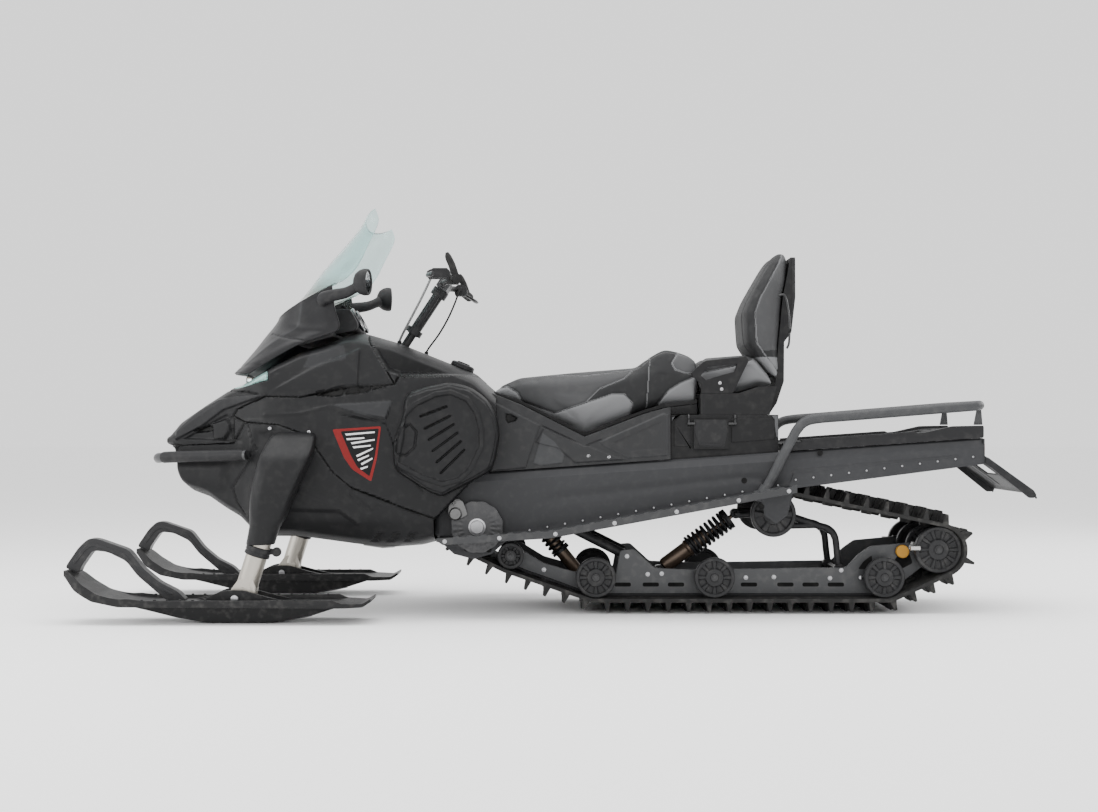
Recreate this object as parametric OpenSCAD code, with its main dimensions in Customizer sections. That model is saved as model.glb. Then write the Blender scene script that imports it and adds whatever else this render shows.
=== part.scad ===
// Utility snowmobile with telescopic fork legs, a long track and a two-up seat.
// Frame: +X forward, +Y to the machine's left, +Z up; origin on the ground under the middle of the machine.
// Millimetres.

/* [Skis and legs] */
// Distance between the middles of the two skis
ski_stance = 900; // [840:10:1080]
// Width of a ski
ski_w = 200; // [160:5:240]
// Diameter of the leg's bright tube
leg_d = 72; // [50:1:80]
// Lean of the legs to the rear, in degrees
leg_lean = 17.6; // [14:0.2:20]

/* [Track and suspension] */
// Width of the track
track_w = 500; // [400:10:600]
// Height of a lug
lug_h = 42; // [32:1:44]
// Thickness of the track's belt
belt_t = 13; // [8:1:16]
// Distance from one lug to the next
lug_pitch = 72.64; // [60:0.01:90]
// Radius of the bogie wheels
bogie_r = 71; // [60:1:74]
// Radius of the rear wheels
rear_r = 82; // [68:1:98]
// Radius of the drive sprockets
sprocket_r = 92; // [76:1:96]

/* [Tunnel and rear] */
// Gap between the track and each side of the tunnel
track_gap = 8; // [6:1:12]
// Thickness of the tunnel's sheet
sheet = 4; // [2:0.5:5]
// Reach of a running board out from the tunnel
board_reach = 169; // [135:1:205]
// Height of the snow flap's lower edge
flap_low = 412; // [380:1:440]
// Diameter of the rack's tube
rack_d = 34; // [28:1:38]

/* [Body and steering] */
// Half the width of the bodywork at the knees
body_half = 365; // [340:1:380]
// Thickness of the body panels
panel_t = 7; // [4:0.5:9]
// Width over the ends of the handlebar
bar_span = 770; // [640:10:860]
// Half the width of the windshield's top edge
shield_half = 282; // [235:1:300]
// Thickness of the windshield
shield_t = 4; // [3:0.5:6]
// Width of the driver's seat
seat_w = 340; // [290:5:380]
// Width of the passenger's backrest
back_w = 400; // [330:5:420]

/* [Hidden] */
$fn = 48;
seat_gap = 0.3;                                   // between pieces that lie on each other
run_gap = 0.06;                                   // radial play of a pin or shaft in its bore
tunnel_half = track_w / 2 + track_gap + sheet;    // half the tunnel's outer width
belt_z = lug_h + belt_t;                          // the belt's inner face above the ground
axle_r = 10;
rail_y = 140;                                     // inner face of a slide rail from the middle
rail_t = 12;
wheel_w = 26;
outer_wheel_y = track_w / 2 - 50;                 // inner face of the outer wheels

// Wheels inside the track: [x, z, radius], running anticlockwise in the X-Z plane from the rear.
rear_axle = [-1329, belt_z + 170 - 0.4];
bogie_z = belt_z + bogie_r + 0.4;
bogie_xs = [-1140, -541, -123];
tip_wheel = [177, belt_z + 148, 47];
drive_axle_at = [292, 309];
carrier_at = [-751, 348, 80];
loop_circles = [[rear_axle[0], rear_axle[1], rear_r + 0.4],
    [bogie_xs[0], bogie_z, bogie_r + 0.4],
    [bogie_xs[2], bogie_z, bogie_r + 0.4],
    [tip_wheel[0], tip_wheel[1], tip_wheel[2] + 0.4],
    [drive_axle_at[0], drive_axle_at[1], sprocket_r + 0.4],
    [carrier_at[0], carrier_at[1], carrier_at[2] + 0.4]];

// ---------- shapes shared by several sub-parts ----------

// A side-view outline [x, z] made solid between two distances from the middle plane.
module side(pts, y0, y1) {
    translate([0, y1, 0]) rotate([90, 0, 0]) linear_extrude(y1 - y0) polygon(pts);
}

// The same on both sides of the machine.
module both() {
    children();
    mirror([0, 1, 0]) children();
}

// A round bar along Y between two distances from the middle plane, at [x, z].
module cross_bar(at, r, y0, y1) {
    translate([at[0], y1, at[1]]) rotate([90, 0, 0]) cylinder(r = r, h = y1 - y0);
}

// A round bar from point a to point b.
module bar(a, b, r, r2 = -1) {
    d = b - a;
    len = norm(d);
    translate(a) rotate([0, acos(d[2] / len), atan2(d[1], d[0])])
        cylinder(r1 = r, r2 = r2 < 0 ? r : r2, h = len);
}

// A tube that follows a list of points, with flat sides.
module tube_sweep(pts, r, sides = 8) {
    n = len(pts);
    function along(i) = let (d = pts[min(i + 1, n - 1)] - pts[max(i - 1, 0)]) d / norm(d);
    function ring(i) = let (t = along(i), u = cross(t, [0, 0, 1]), a = u / norm(u), b = cross(t, a))
        [for (k = [0 : sides - 1]) pts[i] + r * (a * cos(360 * k / sides) + b * sin(360 * k / sides))];
    polyhedron(points = [for (i = [0 : n - 1]) each ring(i)],
        faces = concat([[for (k = [0 : sides - 1]) k]],
            [[for (k = [sides - 1 : -1 : 0]) (n - 1) * sides + k]],
            [for (i = [0 : n - 2], k = [0 : sides - 1]) let (a = i * sides, b = a + sides, m = (k + 1) % sides)
                each [[a + k, b + k, b + m], [a + k, b + m, a + m]]]));
}

// A thin curved sheet between an outer and an inner grid of points, closed round its rim.
module sheet_between(outer, inner) {
    rows = len(outer);
    cols = len(outer[0]);
    n = rows * cols;
    function at(i, j) = i * cols + j;
    skin = [for (i = [0 : rows - 2], j = [0 : cols - 2])
        each [[at(i, j), at(i, j + 1), at(i + 1, j + 1)], [at(i, j), at(i + 1, j + 1), at(i + 1, j)]]];
    back = [for (f = skin) [n + f[2], n + f[1], n + f[0]]];
    rim = concat(
        [for (j = [0 : cols - 2]) each [[at(0, j + 1), at(0, j), n + at(0, j)],
            [at(0, j + 1), n + at(0, j), n + at(0, j + 1)]]],
        [for (j = [0 : cols - 2]) each [[at(rows - 1, j), at(rows - 1, j + 1), n + at(rows - 1, j + 1)],
            [at(rows - 1, j), n + at(rows - 1, j + 1), n + at(rows - 1, j)]]],
        [for (i = [0 : rows - 2]) each [[at(i, 0), at(i + 1, 0), n + at(i + 1, 0)],
            [at(i, 0), n + at(i + 1, 0), n + at(i, 0)]]],
        [for (i = [0 : rows - 2]) each [[at(i + 1, cols - 1), at(i, cols - 1), n + at(i, cols - 1)],
            [at(i + 1, cols - 1), n + at(i, cols - 1), n + at(i + 1, cols - 1)]]]);
    polyhedron(points = concat([for (r = outer) each r], [for (r = inner) each r]),
        faces = [for (f = concat(skin, back, rim)) [f[0], f[2], f[1]]]);
}

// One row of a wrapped screen: a half ellipse from the right edge over the middle to the left edge.
// row = [middle x, middle z, edge x, edge z, half width]
function wrap_row(row, steps, pull) = [for (k = [0 : steps])
    let (t = -90 + 180 * k / steps)
    [row[2] + (row[0] - pull - row[2]) * cos(t), (row[4] - pull) * sin(t), row[3] + (row[1] - row[3]) * cos(t)]];
module wrap_sheet(rows, t, steps = 18) {
    sheet_between([for (r = rows) wrap_row(r, steps, 0)], [for (r = rows) wrap_row(r, steps, t)]);
}

// ---------- track ----------

// Direction of the tangent's outward normal between circle a and the next circle b, in degrees.
function tangent_angle(a, b) = let (d = [b[0] - a[0], b[1] - a[1]], l = norm(d), c = (a[2] - b[2]) / l)
    atan2(d[1], d[0]) - acos(c);
circle_n = len(loop_circles);
function next(i) = (i + 1) % circle_n;
function leave_angle(i) = tangent_angle(loop_circles[i], loop_circles[next(i)]);
function arrive_angle(i) = leave_angle((i + circle_n - 1) % circle_n);
function turn(i) = let (t = leave_angle(i) - arrive_angle(i)) t < 0 ? t + 360 : t;
// Corner points of the belt's inner line as [x, z, normal angle], with arcs stepped about every 10 degrees.
belt_points = [for (i = [0 : circle_n - 1])
    let (c = loop_circles[i], k = max(1, ceil(turn(i) / 10)))
    each [for (s = [0 : k]) let (a = arrive_angle(i) + turn(i) * s / k)
        [c[0] + c[2] * cos(a), c[1] + c[2] * sin(a), a]]];
function offset_point(p, out) = [p[0] + out * cos(p[2]), p[1] + out * sin(p[2])];
point_n = len(belt_points);
function gap_after(i) = norm([belt_points[(i + 1) % point_n][0] - belt_points[i][0],
    belt_points[(i + 1) % point_n][1] - belt_points[i][1]]);
function run_to(i) = i == 0 ? 0 : run_to(i - 1) + gap_after(i - 1);
belt_len = run_to(point_n - 1) + gap_after(point_n - 1);
lug_n = round(belt_len / lug_pitch);
run_x = [for (i = [0 : point_n]) [i == point_n ? belt_len : run_to(i), belt_points[i % point_n][0]]];
run_z = [for (i = [0 : point_n]) [i == point_n ? belt_len : run_to(i), belt_points[i % point_n][1]]];
function belt_at(s) = let (m = s % belt_len) [lookup(m, run_x), lookup(m, run_z)];

// A lug's outline, out from the belt's outer face, standing at the place s along the belt.
module lug(s) {
    p = belt_at(s);
    d = belt_at(s + 4) - belt_at(s - 4 + belt_len);
    translate(p) rotate(atan2(d[1], d[0]) - 90)
        polygon([[belt_t - 1, -11], [belt_t + lug_h, -3], [belt_t + lug_h, 3], [belt_t - 1, 11]]);
}

module track() {
    color("#1b1b1c") translate([0, track_w / 2, 0]) rotate([90, 0, 0]) linear_extrude(track_w)
        difference() {
            union() {
                polygon([for (p = belt_points) offset_point(p, belt_t)]);
                for (i = [0 : lug_n - 1]) lug(i * belt_len / lug_n);
            }
            polygon([for (p = belt_points) offset_point(p, 0)]);
        }
}

// ---------- wheels and slide rails ----------

// A wheel of radius r and width w, its inner face at y0, with a rim, a web and a hub on an axle of radius bore.
module wheel(at, r, y0, w, bore = axle_r) {
    difference() {
        cross_bar(at, r, y0, y0 + w);
        cross_bar(at, r - 13, y0 + w - 8, y0 + w + 1);
        cross_bar(at, r - 13, y0 - 1, y0 + 8);
        cross_bar(at, bore, y0 - 1, y0 + w + 1);
    }
    difference() {
        cross_bar(at, r * 0.4, y0 + 1, y0 + w - 1);
        cross_bar(at, bore, y0 - 1, y0 + w + 1);
    }
}

module axle(at, half) {
    cross_bar(at, axle_r, -half, half);
}

module bogie_wheels() {
    color("#2c2d2e") for (x = bogie_xs) {
        both() wheel([x, bogie_z], bogie_r, outer_wheel_y, wheel_w);
        axle([x, bogie_z], outer_wheel_y + wheel_w);
    }
    color("#2c2d2e") both() wheel([tip_wheel[0], tip_wheel[1]], tip_wheel[2], outer_wheel_y, wheel_w);
    color("#2c2d2e") axle([tip_wheel[0], tip_wheel[1]], outer_wheel_y + wheel_w);
}

module rear_wheels() {
    color("#2c2d2e") {
        both() wheel(rear_axle, rear_r, outer_wheel_y, wheel_w);
        both() wheel(rear_axle, rear_r, 60, wheel_w);
        axle(rear_axle, outer_wheel_y + wheel_w);
    }
}

module carrier_wheels() {
    at = [carrier_at[0], carrier_at[1]];
    color("#2c2d2e") {
        both() wheel(at, carrier_at[2], outer_wheel_y - 20, wheel_w);
        axle(at, tunnel_half - sheet - seat_gap);
    }
}

rail_bottom = belt_z + 0.6;
rail_front = [tip_wheel[0], tip_wheel[1]];
module slide_rails() {
    color("#414244") both() difference() {
        side([[215, 212], [196, rail_bottom + 112], [62, rail_bottom + 66], [-60, rail_bottom + 22],
            [-122, rail_bottom], [-1110, rail_bottom], [-1180, rail_bottom + 18],
            [-1345, rear_axle[1] - 24], [-1365, rear_axle[1] + 10], [-1345, rear_axle[1] + 30],
            [-1103, 232], [-1060, 202], [-1018, 156], [-492, 148], [-335, 154], [-262, 221],
            [-212, 217], [-196, 130], [-45, 142], [62, 172], [150, 226], [200, 232]], rail_y, rail_y + rail_t);
        for (x = bogie_xs) cross_bar([x, bogie_z], axle_r + seat_gap, 0, rail_y + 40);
        cross_bar(rail_front, axle_r + seat_gap, 0, rail_y + 40);
        cross_bar(rear_axle, axle_r + seat_gap, 0, rail_y + 40);
        for (p = [arm_front_low, arm_rear_low, shock_low, shock_front_low])
            cross_bar(p, pin_r + seat_gap, 0, rail_y + 40);
        for (x = [-1010, -860, -700, -420, -310, 30])
            side([[x, belt_z + 32], [x + 58, belt_z + 32], [x + 58, belt_z + 44], [x, belt_z + 44]],
                rail_y - 1, rail_y + rail_t + 1);
    }
}

pin_r = 8;
arm_front_low = [-236, 196];
arm_front_top = [30, 330];
arm_rear_low = [-1000, 146];
shock_low = [-360, 134];
shock_front_low = [-76, 112];
shock_top = [-640, 340];
shock_front_top = [118, 352];

// The bars that carry the slide rails under the tunnel.
module suspension_arms() {
    color("#232425") {
        both() bar([arm_front_low[0], 122, arm_front_low[1]], [arm_front_top[0], 122, arm_front_top[1]], 17);
        cross_bar(arm_front_low, pin_r, -rail_y - rail_t, rail_y + rail_t);
        cross_bar(arm_front_top, 17, -tunnel_half + sheet + seat_gap, tunnel_half - sheet - seat_gap);
        both() tube_sweep([[carrier_at[0] - 20, 110, 300], [-912, 110, 304], [-944, 110, 298], [-976, 110, 276],
            [-990, 110, 244], [arm_rear_low[0], 110, arm_rear_low[1]]], 11, 16);
        cross_bar(arm_rear_low, pin_r, -rail_y - rail_t, rail_y + rail_t);
        difference() {
            union() {
                both() bar([carrier_at[0], 110, carrier_at[1]], [carrier_at[0] - 26, 110, 300], 20);
                both() bar([shock_top[0], 92, shock_top[1]], [carrier_at[0], 92, carrier_at[1]], 12);
                both() cross_bar([carrier_at[0], carrier_at[1]], 24, 78, 132);
            }
            axle_clear([carrier_at[0], carrier_at[1]]);
        }
        cross_bar(shock_low, pin_r, -rail_y - rail_t, rail_y + rail_t);
        cross_bar(shock_front_low, pin_r, -rail_y - rail_t, rail_y + rail_t);
        cross_bar(shock_top, pin_r, -104, 104);
        cross_bar(shock_front_top, pin_r, -tunnel_half + sheet + seat_gap, tunnel_half - sheet - seat_gap);
    }
}

module axle_clear(at) {
    cross_bar(at, axle_r + seat_gap, -track_w / 2, track_w / 2);
}

// A shock absorber between two cross pins: a body, a rod, a spring and an eye at each end.
module shock(low, top, body_r, spring_r, spring_from, eye_w) {
    d = top - low;
    len = norm(d);
    difference() {
        union() {
            translate([low[0], 0, low[1]]) rotate([0, 90 - atan2(d[1], d[0]), 0]) {
                cylinder(r = body_r, h = len * 0.62);
                cylinder(r = body_r * 0.3, h = len);
                translate([0, 0, len * spring_from]) cylinder(r = spring_r, h = 8);
                translate([0, 0, len - 36]) cylinder(r = spring_r, h = 8);
                for (z = [len * spring_from + 14 : 22 : len - 44])
                    translate([0, 0, z]) cylinder(r = spring_r, h = 9);
            }
            cross_bar(low, pin_r + 9, -eye_w / 2, eye_w / 2);
            cross_bar(top, pin_r + 9, -eye_w / 2, eye_w / 2);
        }
        cross_bar(low, pin_r + seat_gap, -eye_w, eye_w);
        cross_bar(top, pin_r + seat_gap, -eye_w, eye_w);
    }
}

module shock_absorbers() {
    color("#4a3f36") {
        shock(shock_low, shock_top, 28, 42, 0.4, 56);
        shock(shock_front_low, shock_front_top, 24, 36, 0.36, 50);
    }
}

module drive_axle() {
    color("#3c3d3f") {
        for (y = [-150, -50, 50, 150]) difference() {
            cross_bar(drive_axle_at, sprocket_r, y - 14, y + 14);
            cross_bar(drive_axle_at, sprocket_r - 22, y - 15, y - 6);
            cross_bar(drive_axle_at, sprocket_r - 22, y + 6, y + 15);
        }
        cross_bar(drive_axle_at, 16, -tunnel_half - 12, tunnel_half + 34);
        cross_bar(drive_axle_at, brake_r, disc_y, disc_y + 6);
    }
}

brake_r = 93;
disc_y = tunnel_half + 22;
caliper_at = [352, 372];
module brake_caliper() {
    color("#a9abad") difference() {
        union() {
            side([[322, 352], [340, 404], [382, 408], [392, 352], [362, 330]], disc_y - 14, disc_y + 22);
            cross_bar([369, 352], 20, disc_y + 20, disc_y + 32);
            side([[340, 380], [340, 404], [382, 408], [388, 380]], tunnel_half + seat_gap, disc_y - 10);
        }
        cross_bar(drive_axle_at, brake_r + 3, disc_y - 3, disc_y + 9);
    }
}

// ---------- tunnel, boards, rack ----------

tail_x = -1481;
tunnel_front = 440.5;
tunnel_top_tail = 618;
tunnel_rise = 0.0696;                             // the tunnel's climb to the rear, a slope
function tunnel_top(x) = tunnel_top_tail - (x - tail_x) * tunnel_rise;
board_back = -798;
function board_z(x) = x > 37 ? 270 + (424 - x) * 0.062 : 294 + (37 - x) * 0.184;

tunnel_side = [[tunnel_front, tunnel_top(tunnel_front)], [tunnel_front, 284], [415, 250], [374, 213],
    [306, 195], [243, 213], [187, 262], [board_back, 440], [tail_x, 528], [tail_x, tunnel_top_tail]];
ear = [[-630, 420], [-636, 405], [-700, 395], [-712, 347], [-751, 318], [-790, 347], [-806, 400], [-812, 445]];

module tunnel() {
    axle_hole = axle_r + seat_gap;
    color("#4b4c4e") difference() {
        union() {
            both() side(tunnel_side, tunnel_half - sheet, tunnel_half);
            both() side(ear, tunnel_half - sheet, tunnel_half);
            side([[tunnel_front, tunnel_top(tunnel_front)], [tail_x, tunnel_top_tail],
                [tail_x, tunnel_top_tail - sheet], [tunnel_front, tunnel_top(tunnel_front) - sheet]],
                -tunnel_half, tunnel_half);
            side([[tunnel_front, tunnel_top(tunnel_front)], [tunnel_front, 284],
                [tunnel_front - sheet, 280], [tunnel_front - sheet, tunnel_top(tunnel_front)]],
                -tunnel_half, tunnel_half);
            side([[tail_x, tunnel_top_tail], [tail_x, 530], [tail_x + sheet, 530],
                [tail_x + sheet, tunnel_top_tail]], -tunnel_half, tunnel_half);
        }
        cross_bar(drive_axle_at, 16 + run_gap, -tunnel_half - 1, tunnel_half + 1);
    }
}

board_half = tunnel_half + board_reach;
module running_boards() {
    color("#3e3f41") both() difference() {
        union() {
            side([[424, board_z(424)], [37, board_z(37)], [board_back, board_z(board_back)],
                [board_back, board_z(board_back) - sheet], [37, board_z(37) - sheet],
                [424, board_z(424) - sheet]], tunnel_half + seat_gap, board_half);
            side([[424, board_z(424) + 14], [37, board_z(37) + 16], [board_back, board_z(board_back) + 16],
                [board_back, board_z(board_back) - 10], [37, board_z(37) - 14],
                [402, board_z(424) - 14]], board_half - 12, board_half);
        }
        translate([drive_axle_at[0] - brake_r - 12, tunnel_half, 150]) cube([260, 60, 200]);
        for (x = [-740 : 55 : 120], y = [tunnel_half + 28, tunnel_half + 88])
            if (y + 48 < board_half - 16)
                translate([x, y, board_z(x) - 30]) cube([34, 48, 60]);
    }
}

deck_half = tunnel_half - 8;
module cargo_deck() {
    base = [for (x = [-799, tail_x]) [x, tunnel_top(x) + seat_gap]];
    color("#2f3032") {
        both() side([base[0], base[1], [tail_x, 664], [-1374, 662], [-1277, 640], [-870, 611], [-799, 606]],
            deck_half - 32, deck_half);
        difference() {
            side([[-812, 600], [-870, 606], [-1277, 632], [-1374, 650], [tail_x, 656],
                [tail_x, 644], [-1374, 640], [-1277, 622], [-870, 596], [-812, 590]],
                -deck_half + 32, deck_half - 32);
            for (x = [-1400 : 90 : -860]) translate([x, -deck_half + 60, 560])
                cube([44, 2 * deck_half - 120, 120]);
        }
        for (x = [-1440, -1110, -830])
            side([[x, tunnel_top(x) + seat_gap], [x + 16, tunnel_top(x + 16) + seat_gap],
                [x + 16, deck_z(x + 16) + 0.5], [x, deck_z(x) + 0.5]], -deck_half + 32, deck_half - 32);
    }
}
// Underside of the deck's floor at x.
function deck_z(x) = lookup(x, [[tail_x, 644], [-1374, 640], [-1277, 622], [-870, 596], [-812, 590]]);

rack_y = tunnel_half + rack_d / 2 + 2;
rack_top = 733;
module cargo_rack() {
    foot = board_z(-705) + seat_gap;
    color("#4d4e50") difference() {
        union() {
            both() tube_sweep([[-705, rack_y, foot - 20], [-804, rack_y, 616], [-816, rack_y, 640],
                [-834, rack_y, 664], [-862, rack_y, 680], [-892, rack_y, 686], [-1424, rack_y, rack_top - 4],
                [-1446, rack_y - 4, rack_top - 2], [-1462, rack_y - 18, rack_top - 1],
                [-1468, rack_y - 40, rack_top], [-1468, -1, rack_top]], rack_d / 2, 20);
            both() side([[-1450, 664.4], [-1480, 664.4], [-1476, rack_top - 4], [-1458, rack_top - 4]], 228, 240);
            both() side([for (p = [[-760, 0], [-676, 0], [-676, 8], [-760, 8]])
                [p[0], board_z(p[0]) + seat_gap + p[1]]], tunnel_half + seat_gap, tunnel_half + rack_d);
        }
        side([[-900, board_z(-900) + seat_gap], [-600, board_z(-600) + seat_gap], [-600, 100], [-900, 100]],
            -500, 500);
    }
}

module tail_lamps() {
    color("#7a1418") both() translate([tail_x - 20, 110, 560]) cube([20 - seat_gap, 90, 44]);
}

hitch_x = -1524;
hitch_r = 8.5;
hitch_z = 574;
module tow_hitch() {
    color("#2a2a2b") difference() {
        union() {
            for (z = [hitch_z, hitch_z + 28]) hull() {
                translate([hitch_x, 0, z]) cylinder(r = 24, h = 8);
                translate([tail_x - 8, -40, z]) cube([6, 80, 8]);
            }
            translate([tail_x - 8, -46, hitch_z - 14]) cube([8 - seat_gap, 92, 56]);
        }
        translate([hitch_x, 0, hitch_z - 20]) cylinder(r = hitch_r, h = 80);
    }
}

flap_t = 10;
module snow_flap() {
    color("#303133") difference() {
        side([[tail_x - 0.4, 524], [tail_x - 0.4, 556], [tail_x - 14, 560], [-1664, flap_low + 16],
            [-1656, flap_low - 4], [-1634, flap_low - 4], [-1500, 512]], -263, 263);
        side([[tail_x - 20, 500], [-1500, 540], [-1652, flap_low - 4], [-1660, flap_low - 30], [-1600, 380]],
            -263 + 2 * flap_t, 263 - 2 * flap_t);
        translate([hitch_x - 60, -70, 500]) cube([120, 140, 100]);
    }
}

// ---------- bodywork ----------

nose_top = [[1410, 600], [1410, 623], [1368, 678], [1267, 745], [1176, 800], [1100, 832], [985, 900],
    [905, 941], [818, 966], [771, 990], [720, 1000], [593, 964], [515, 933], [415, 893], [307, 850], [250, 798]];
function body_top(x) = lookup(x, [for (i = [len(nose_top) - 1 : -1 : 2]) nose_top[i]]);
belly = [[440, 245], [494, 230], [632, 219], [707, 230], [928, 262], [1060, 262], [1128, 323], [1188, 356],
    [1255, 399], [1322, 423], [1352, 447], [1340, 478], [1365, 526], [1372, 588]];
body_side = concat(nose_top, [[209, 760], [209, 235]], belly);
body_plan = [[1410, 118], [1372, 176], [1250, 214], [1130, 262], [1050, 322], [940, body_half],
    [440, body_half], [209, body_half - 30]];
body_front = [[215, 235], [262, 300], [340, 345], [470, body_half], [700, body_half], [800, 330], [860, 304],
    [940, 266], [975, 238], [1010, 190]];

// The whole body's outer form, pulled in by t.
module body_form(t) {
    intersection() {
        translate([0, 600, 0]) rotate([90, 0, 0]) linear_extrude(1200) offset(delta = -t) polygon(body_side);
        linear_extrude(1400) offset(delta = -t)
            polygon(concat(body_plan, [for (i = [len(body_plan) - 1 : -1 : 0]) [body_plan[i][0], -body_plan[i][1]]]));
        rotate([90, 0, 90]) linear_extrude(2000) offset(delta = -t)
            polygon(concat([for (p = body_front) [p[1], p[0]]],
                [for (i = [len(body_front) - 1 : -1 : 0]) [-body_front[i][1], body_front[i][0]]]));
    }
}

// A panel: the body's skin inside a side-view outline. Neighbours share their seam's points, and each
// outline is drawn in by half the seam's gap.
seam_gap = 0.8;
module outline_block(outline, grow, y0 = -600, y1 = 600) {
    translate([0, y1, 0]) rotate([90, 0, 0]) linear_extrude(y1 - y0) offset(delta = grow) polygon(outline);
}
module body_panel(outline, y0 = -600, y1 = 600, t = panel_t) {
    difference() {
        intersection() {
            body_form(0);
            outline_block(outline, -seam_gap / 2, y0, y1);
        }
        body_form(t);
    }
}
function backwards(v) = [for (i = [len(v) - 1 : -1 : 0]) v[i]];

pan_seam = [[1146, 600], [1101, 674], [972, 664], [875, 629], [783, 499], [720, 447], [487, 357], [440, 341]];
brow_seam = [[1101, 674], [1148, 694], [1132, 719], [1016, 764]];
hood_front_seam = [[1240, 792], [1086, 778], [1016, 764]];
hood_side_seam = [[1016, 764], [897, 761], [759, 792], [576, 806]];
console_seam = [[576, 806], [562, 834], [296, 838], [243, 792]];
hood_rear_seam = [[576, 806], [690, 988], [690, 1100]];
lamp_outline = [[1240, 794], [1136, 794], [1100, 800], [1013, 822], [1022, 850], [1060, 853], [985, 890],
    [980, 940], [1240, 940]];
nose_outline = concat([[1420, 588], [1420, 900]], hood_front_seam, backwards([for (i = [0 : 2]) brow_seam[i]]),
    [pan_seam[0]]);
side_outline = concat(brow_seam, [for (i = [1 : 3]) hood_side_seam[i]], [for (i = [1 : 3]) console_seam[i]],
    [[222, 700], [222, 560], [432, 338]], backwards([for (i = [2 : 7]) pan_seam[i]]));
module belly_pan() {
    color("#39393b") {
        body_panel(concat([[1420, 588]], pan_seam, [[440, 150], [1420, 150]]));
        intersection() {
            body_form(0.5);
            side([[441, 200], [447, 200], [447, 338], [441, 338]], -600, 600);
        }
        intersection() {
            body_form(panel_t + 3);
            side([[441, 337], [447, 337], [447, 440], [441, 440]], -600, 600);
        }
    }
}

module nose_cover() {
    color("#3b3b3d") body_panel(nose_outline);
}

module hood() {
    color("#38383a") difference() {
        body_panel(concat(hood_front_seam, [for (i = [1 : 3]) hood_side_seam[i]],
            [for (i = [1 : 2]) hood_rear_seam[i]], [[1240, 1100]]));
        outline_block(lamp_outline, seam_gap / 2);
    }
}

cvt_at = [383, 622];
cvt_r = 186;
cvt_y = 404;
module side_panel(cover) {
    difference() {
        union() {
            body_panel(side_outline, tunnel_half - 22, 600);
            if (cover) difference() {
                union() {
                    cross_bar(cvt_at, cvt_r, body_half - 24, cvt_y);
                    side([[560, 520], [360, 440], [250, 600], [340, 796], [500, 780], [576, 700]],
                        body_half - 10, cvt_y - 8);
                }
                cross_bar(cvt_at, cvt_r - 14, body_half - 60, cvt_y - 16);
            }
        }
        cross_bar([drive_axle_at[0], drive_axle_at[1]], brake_r + 26, 0, 600);
    }
}
module side_panel_left() {
    color("#39393b") side_panel(true);
}
module side_panel_right() {
    color("#39393b") mirror([0, 1, 0]) side_panel(false);
}

// Half width of the console at x.
function console_half(x) = lookup(x, [[250, 104], [400, 150], [560, 205], [690, 228]]);
module console() {
    color("#3a3a3c") difference() {
        union() {
            difference() {
                intersection() {
                    body_form(0);
                    outline_block(concat(console_seam, [[243, 1100]], backwards(hood_rear_seam)), -seam_gap / 2);
                    linear_extrude(1400) polygon([for (s = [1, -1])
                        each [for (x = s > 0 ? [240, 400, 560, 700] : [700, 560, 400, 240])
                            [x, s * console_half(x)]]]);
                }
                intersection() {
                    body_form(panel_t);
                    linear_extrude(1400) polygon([for (s = [1, -1])
                        each [for (x = s > 0 ? [262, 400, 560, 710] : [710, 560, 400, 262])
                            [x, s * (console_half(x) - panel_t)]]]);
                }
            }
            bar(post_at(-150), post_at(-84), 34);
        }
        bar(post_at(-300), post_at(200), post_r + run_gap);
        at_fuel_cap() translate([0, 0, -60]) cylinder(r = cap_r - 12, h = 120);
    }
}
cap_r = 44;
// The fuel cap's seat on the console's sloping top.
module at_fuel_cap() {
    translate([362, 0, body_top(362)]) rotate([0, -21.7, 0]) children();
}
module fuel_cap() {
    color("#262627") at_fuel_cap() {
        translate([0, 0, -30]) cylinder(r = cap_r - 12 - seat_gap, h = 34);
        translate([0, 0, seat_gap]) cylinder(r = cap_r, h = 24);
    }
}

module engine_block() {
    color("#5a5b5d") translate([520, -190, 330]) cube([360, 380, 330]);
    color("#5a5b5d") both() side([[590, 229.7], [632, 226.8], [700, 236.8], [700, 331], [590, 331]], 150, 180);
}

module headlights() {
    color("#8fa8a0") body_panel(lamp_outline);
}

cowl_t = 10;
cowl_rows = [[1184, 850, 1090, 844, 250], [1150, 890, 985, 908, 262], [1110, 940, 905, 950, 266],
    [1079, 982, 830, 976, 268], [1050, 1018, 775, 1002, 270], [1034, 1038, 790, 1075, 272],
    [1030, 1044, 800, 1152, 272]];
module windshield_cowl() {
    color("#2e2f31") {
        wrap_sheet(cowl_rows, cowl_t);
        // the dashboard, on the hood's top and joined to the cowl's cheeks
        side([[930, body_top(930) + 0.4], [905, body_top(905) + 0.4], [818, body_top(818) + 0.4],
            [800, body_top(800) + 0.4], [800, 1015], [870, 990], [925, 955]], -244, 244);
        both() translate([810, 240, 982]) cube([40, 18, 24]);
        side([[830, 980], [771, body_top(771) + 0.4], [730, body_top(730) + 0.4], [722, 1024], [752, 1080],
            [830, 1074], [890, 1000], [890, 960]], -150, 150);
    }
}

shield_gap = 0.7;                                 // between the windshield's foot and the cowl
function foot_row(r) = let (p = cowl_t + shield_gap) [r[0] - p, r[1], r[2], r[3], r[4] - p];
shield_rows = [foot_row(cowl_rows[4] * 0.8 + cowl_rows[5] * 0.2), foot_row(cowl_rows[5]), foot_row(cowl_rows[6]),
    [950, 1112, 765, 1166, 262], [863, 1222, 712, 1215, 266], [787, 1303, 668, 1300, 274], [742, 1350, 636, 1372, 279],
    [708, 1382, 647, 1418, shield_half]];
module windshield() {
    color("#a9c4c0") wrap_sheet(shield_rows, shield_t);
}

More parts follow.
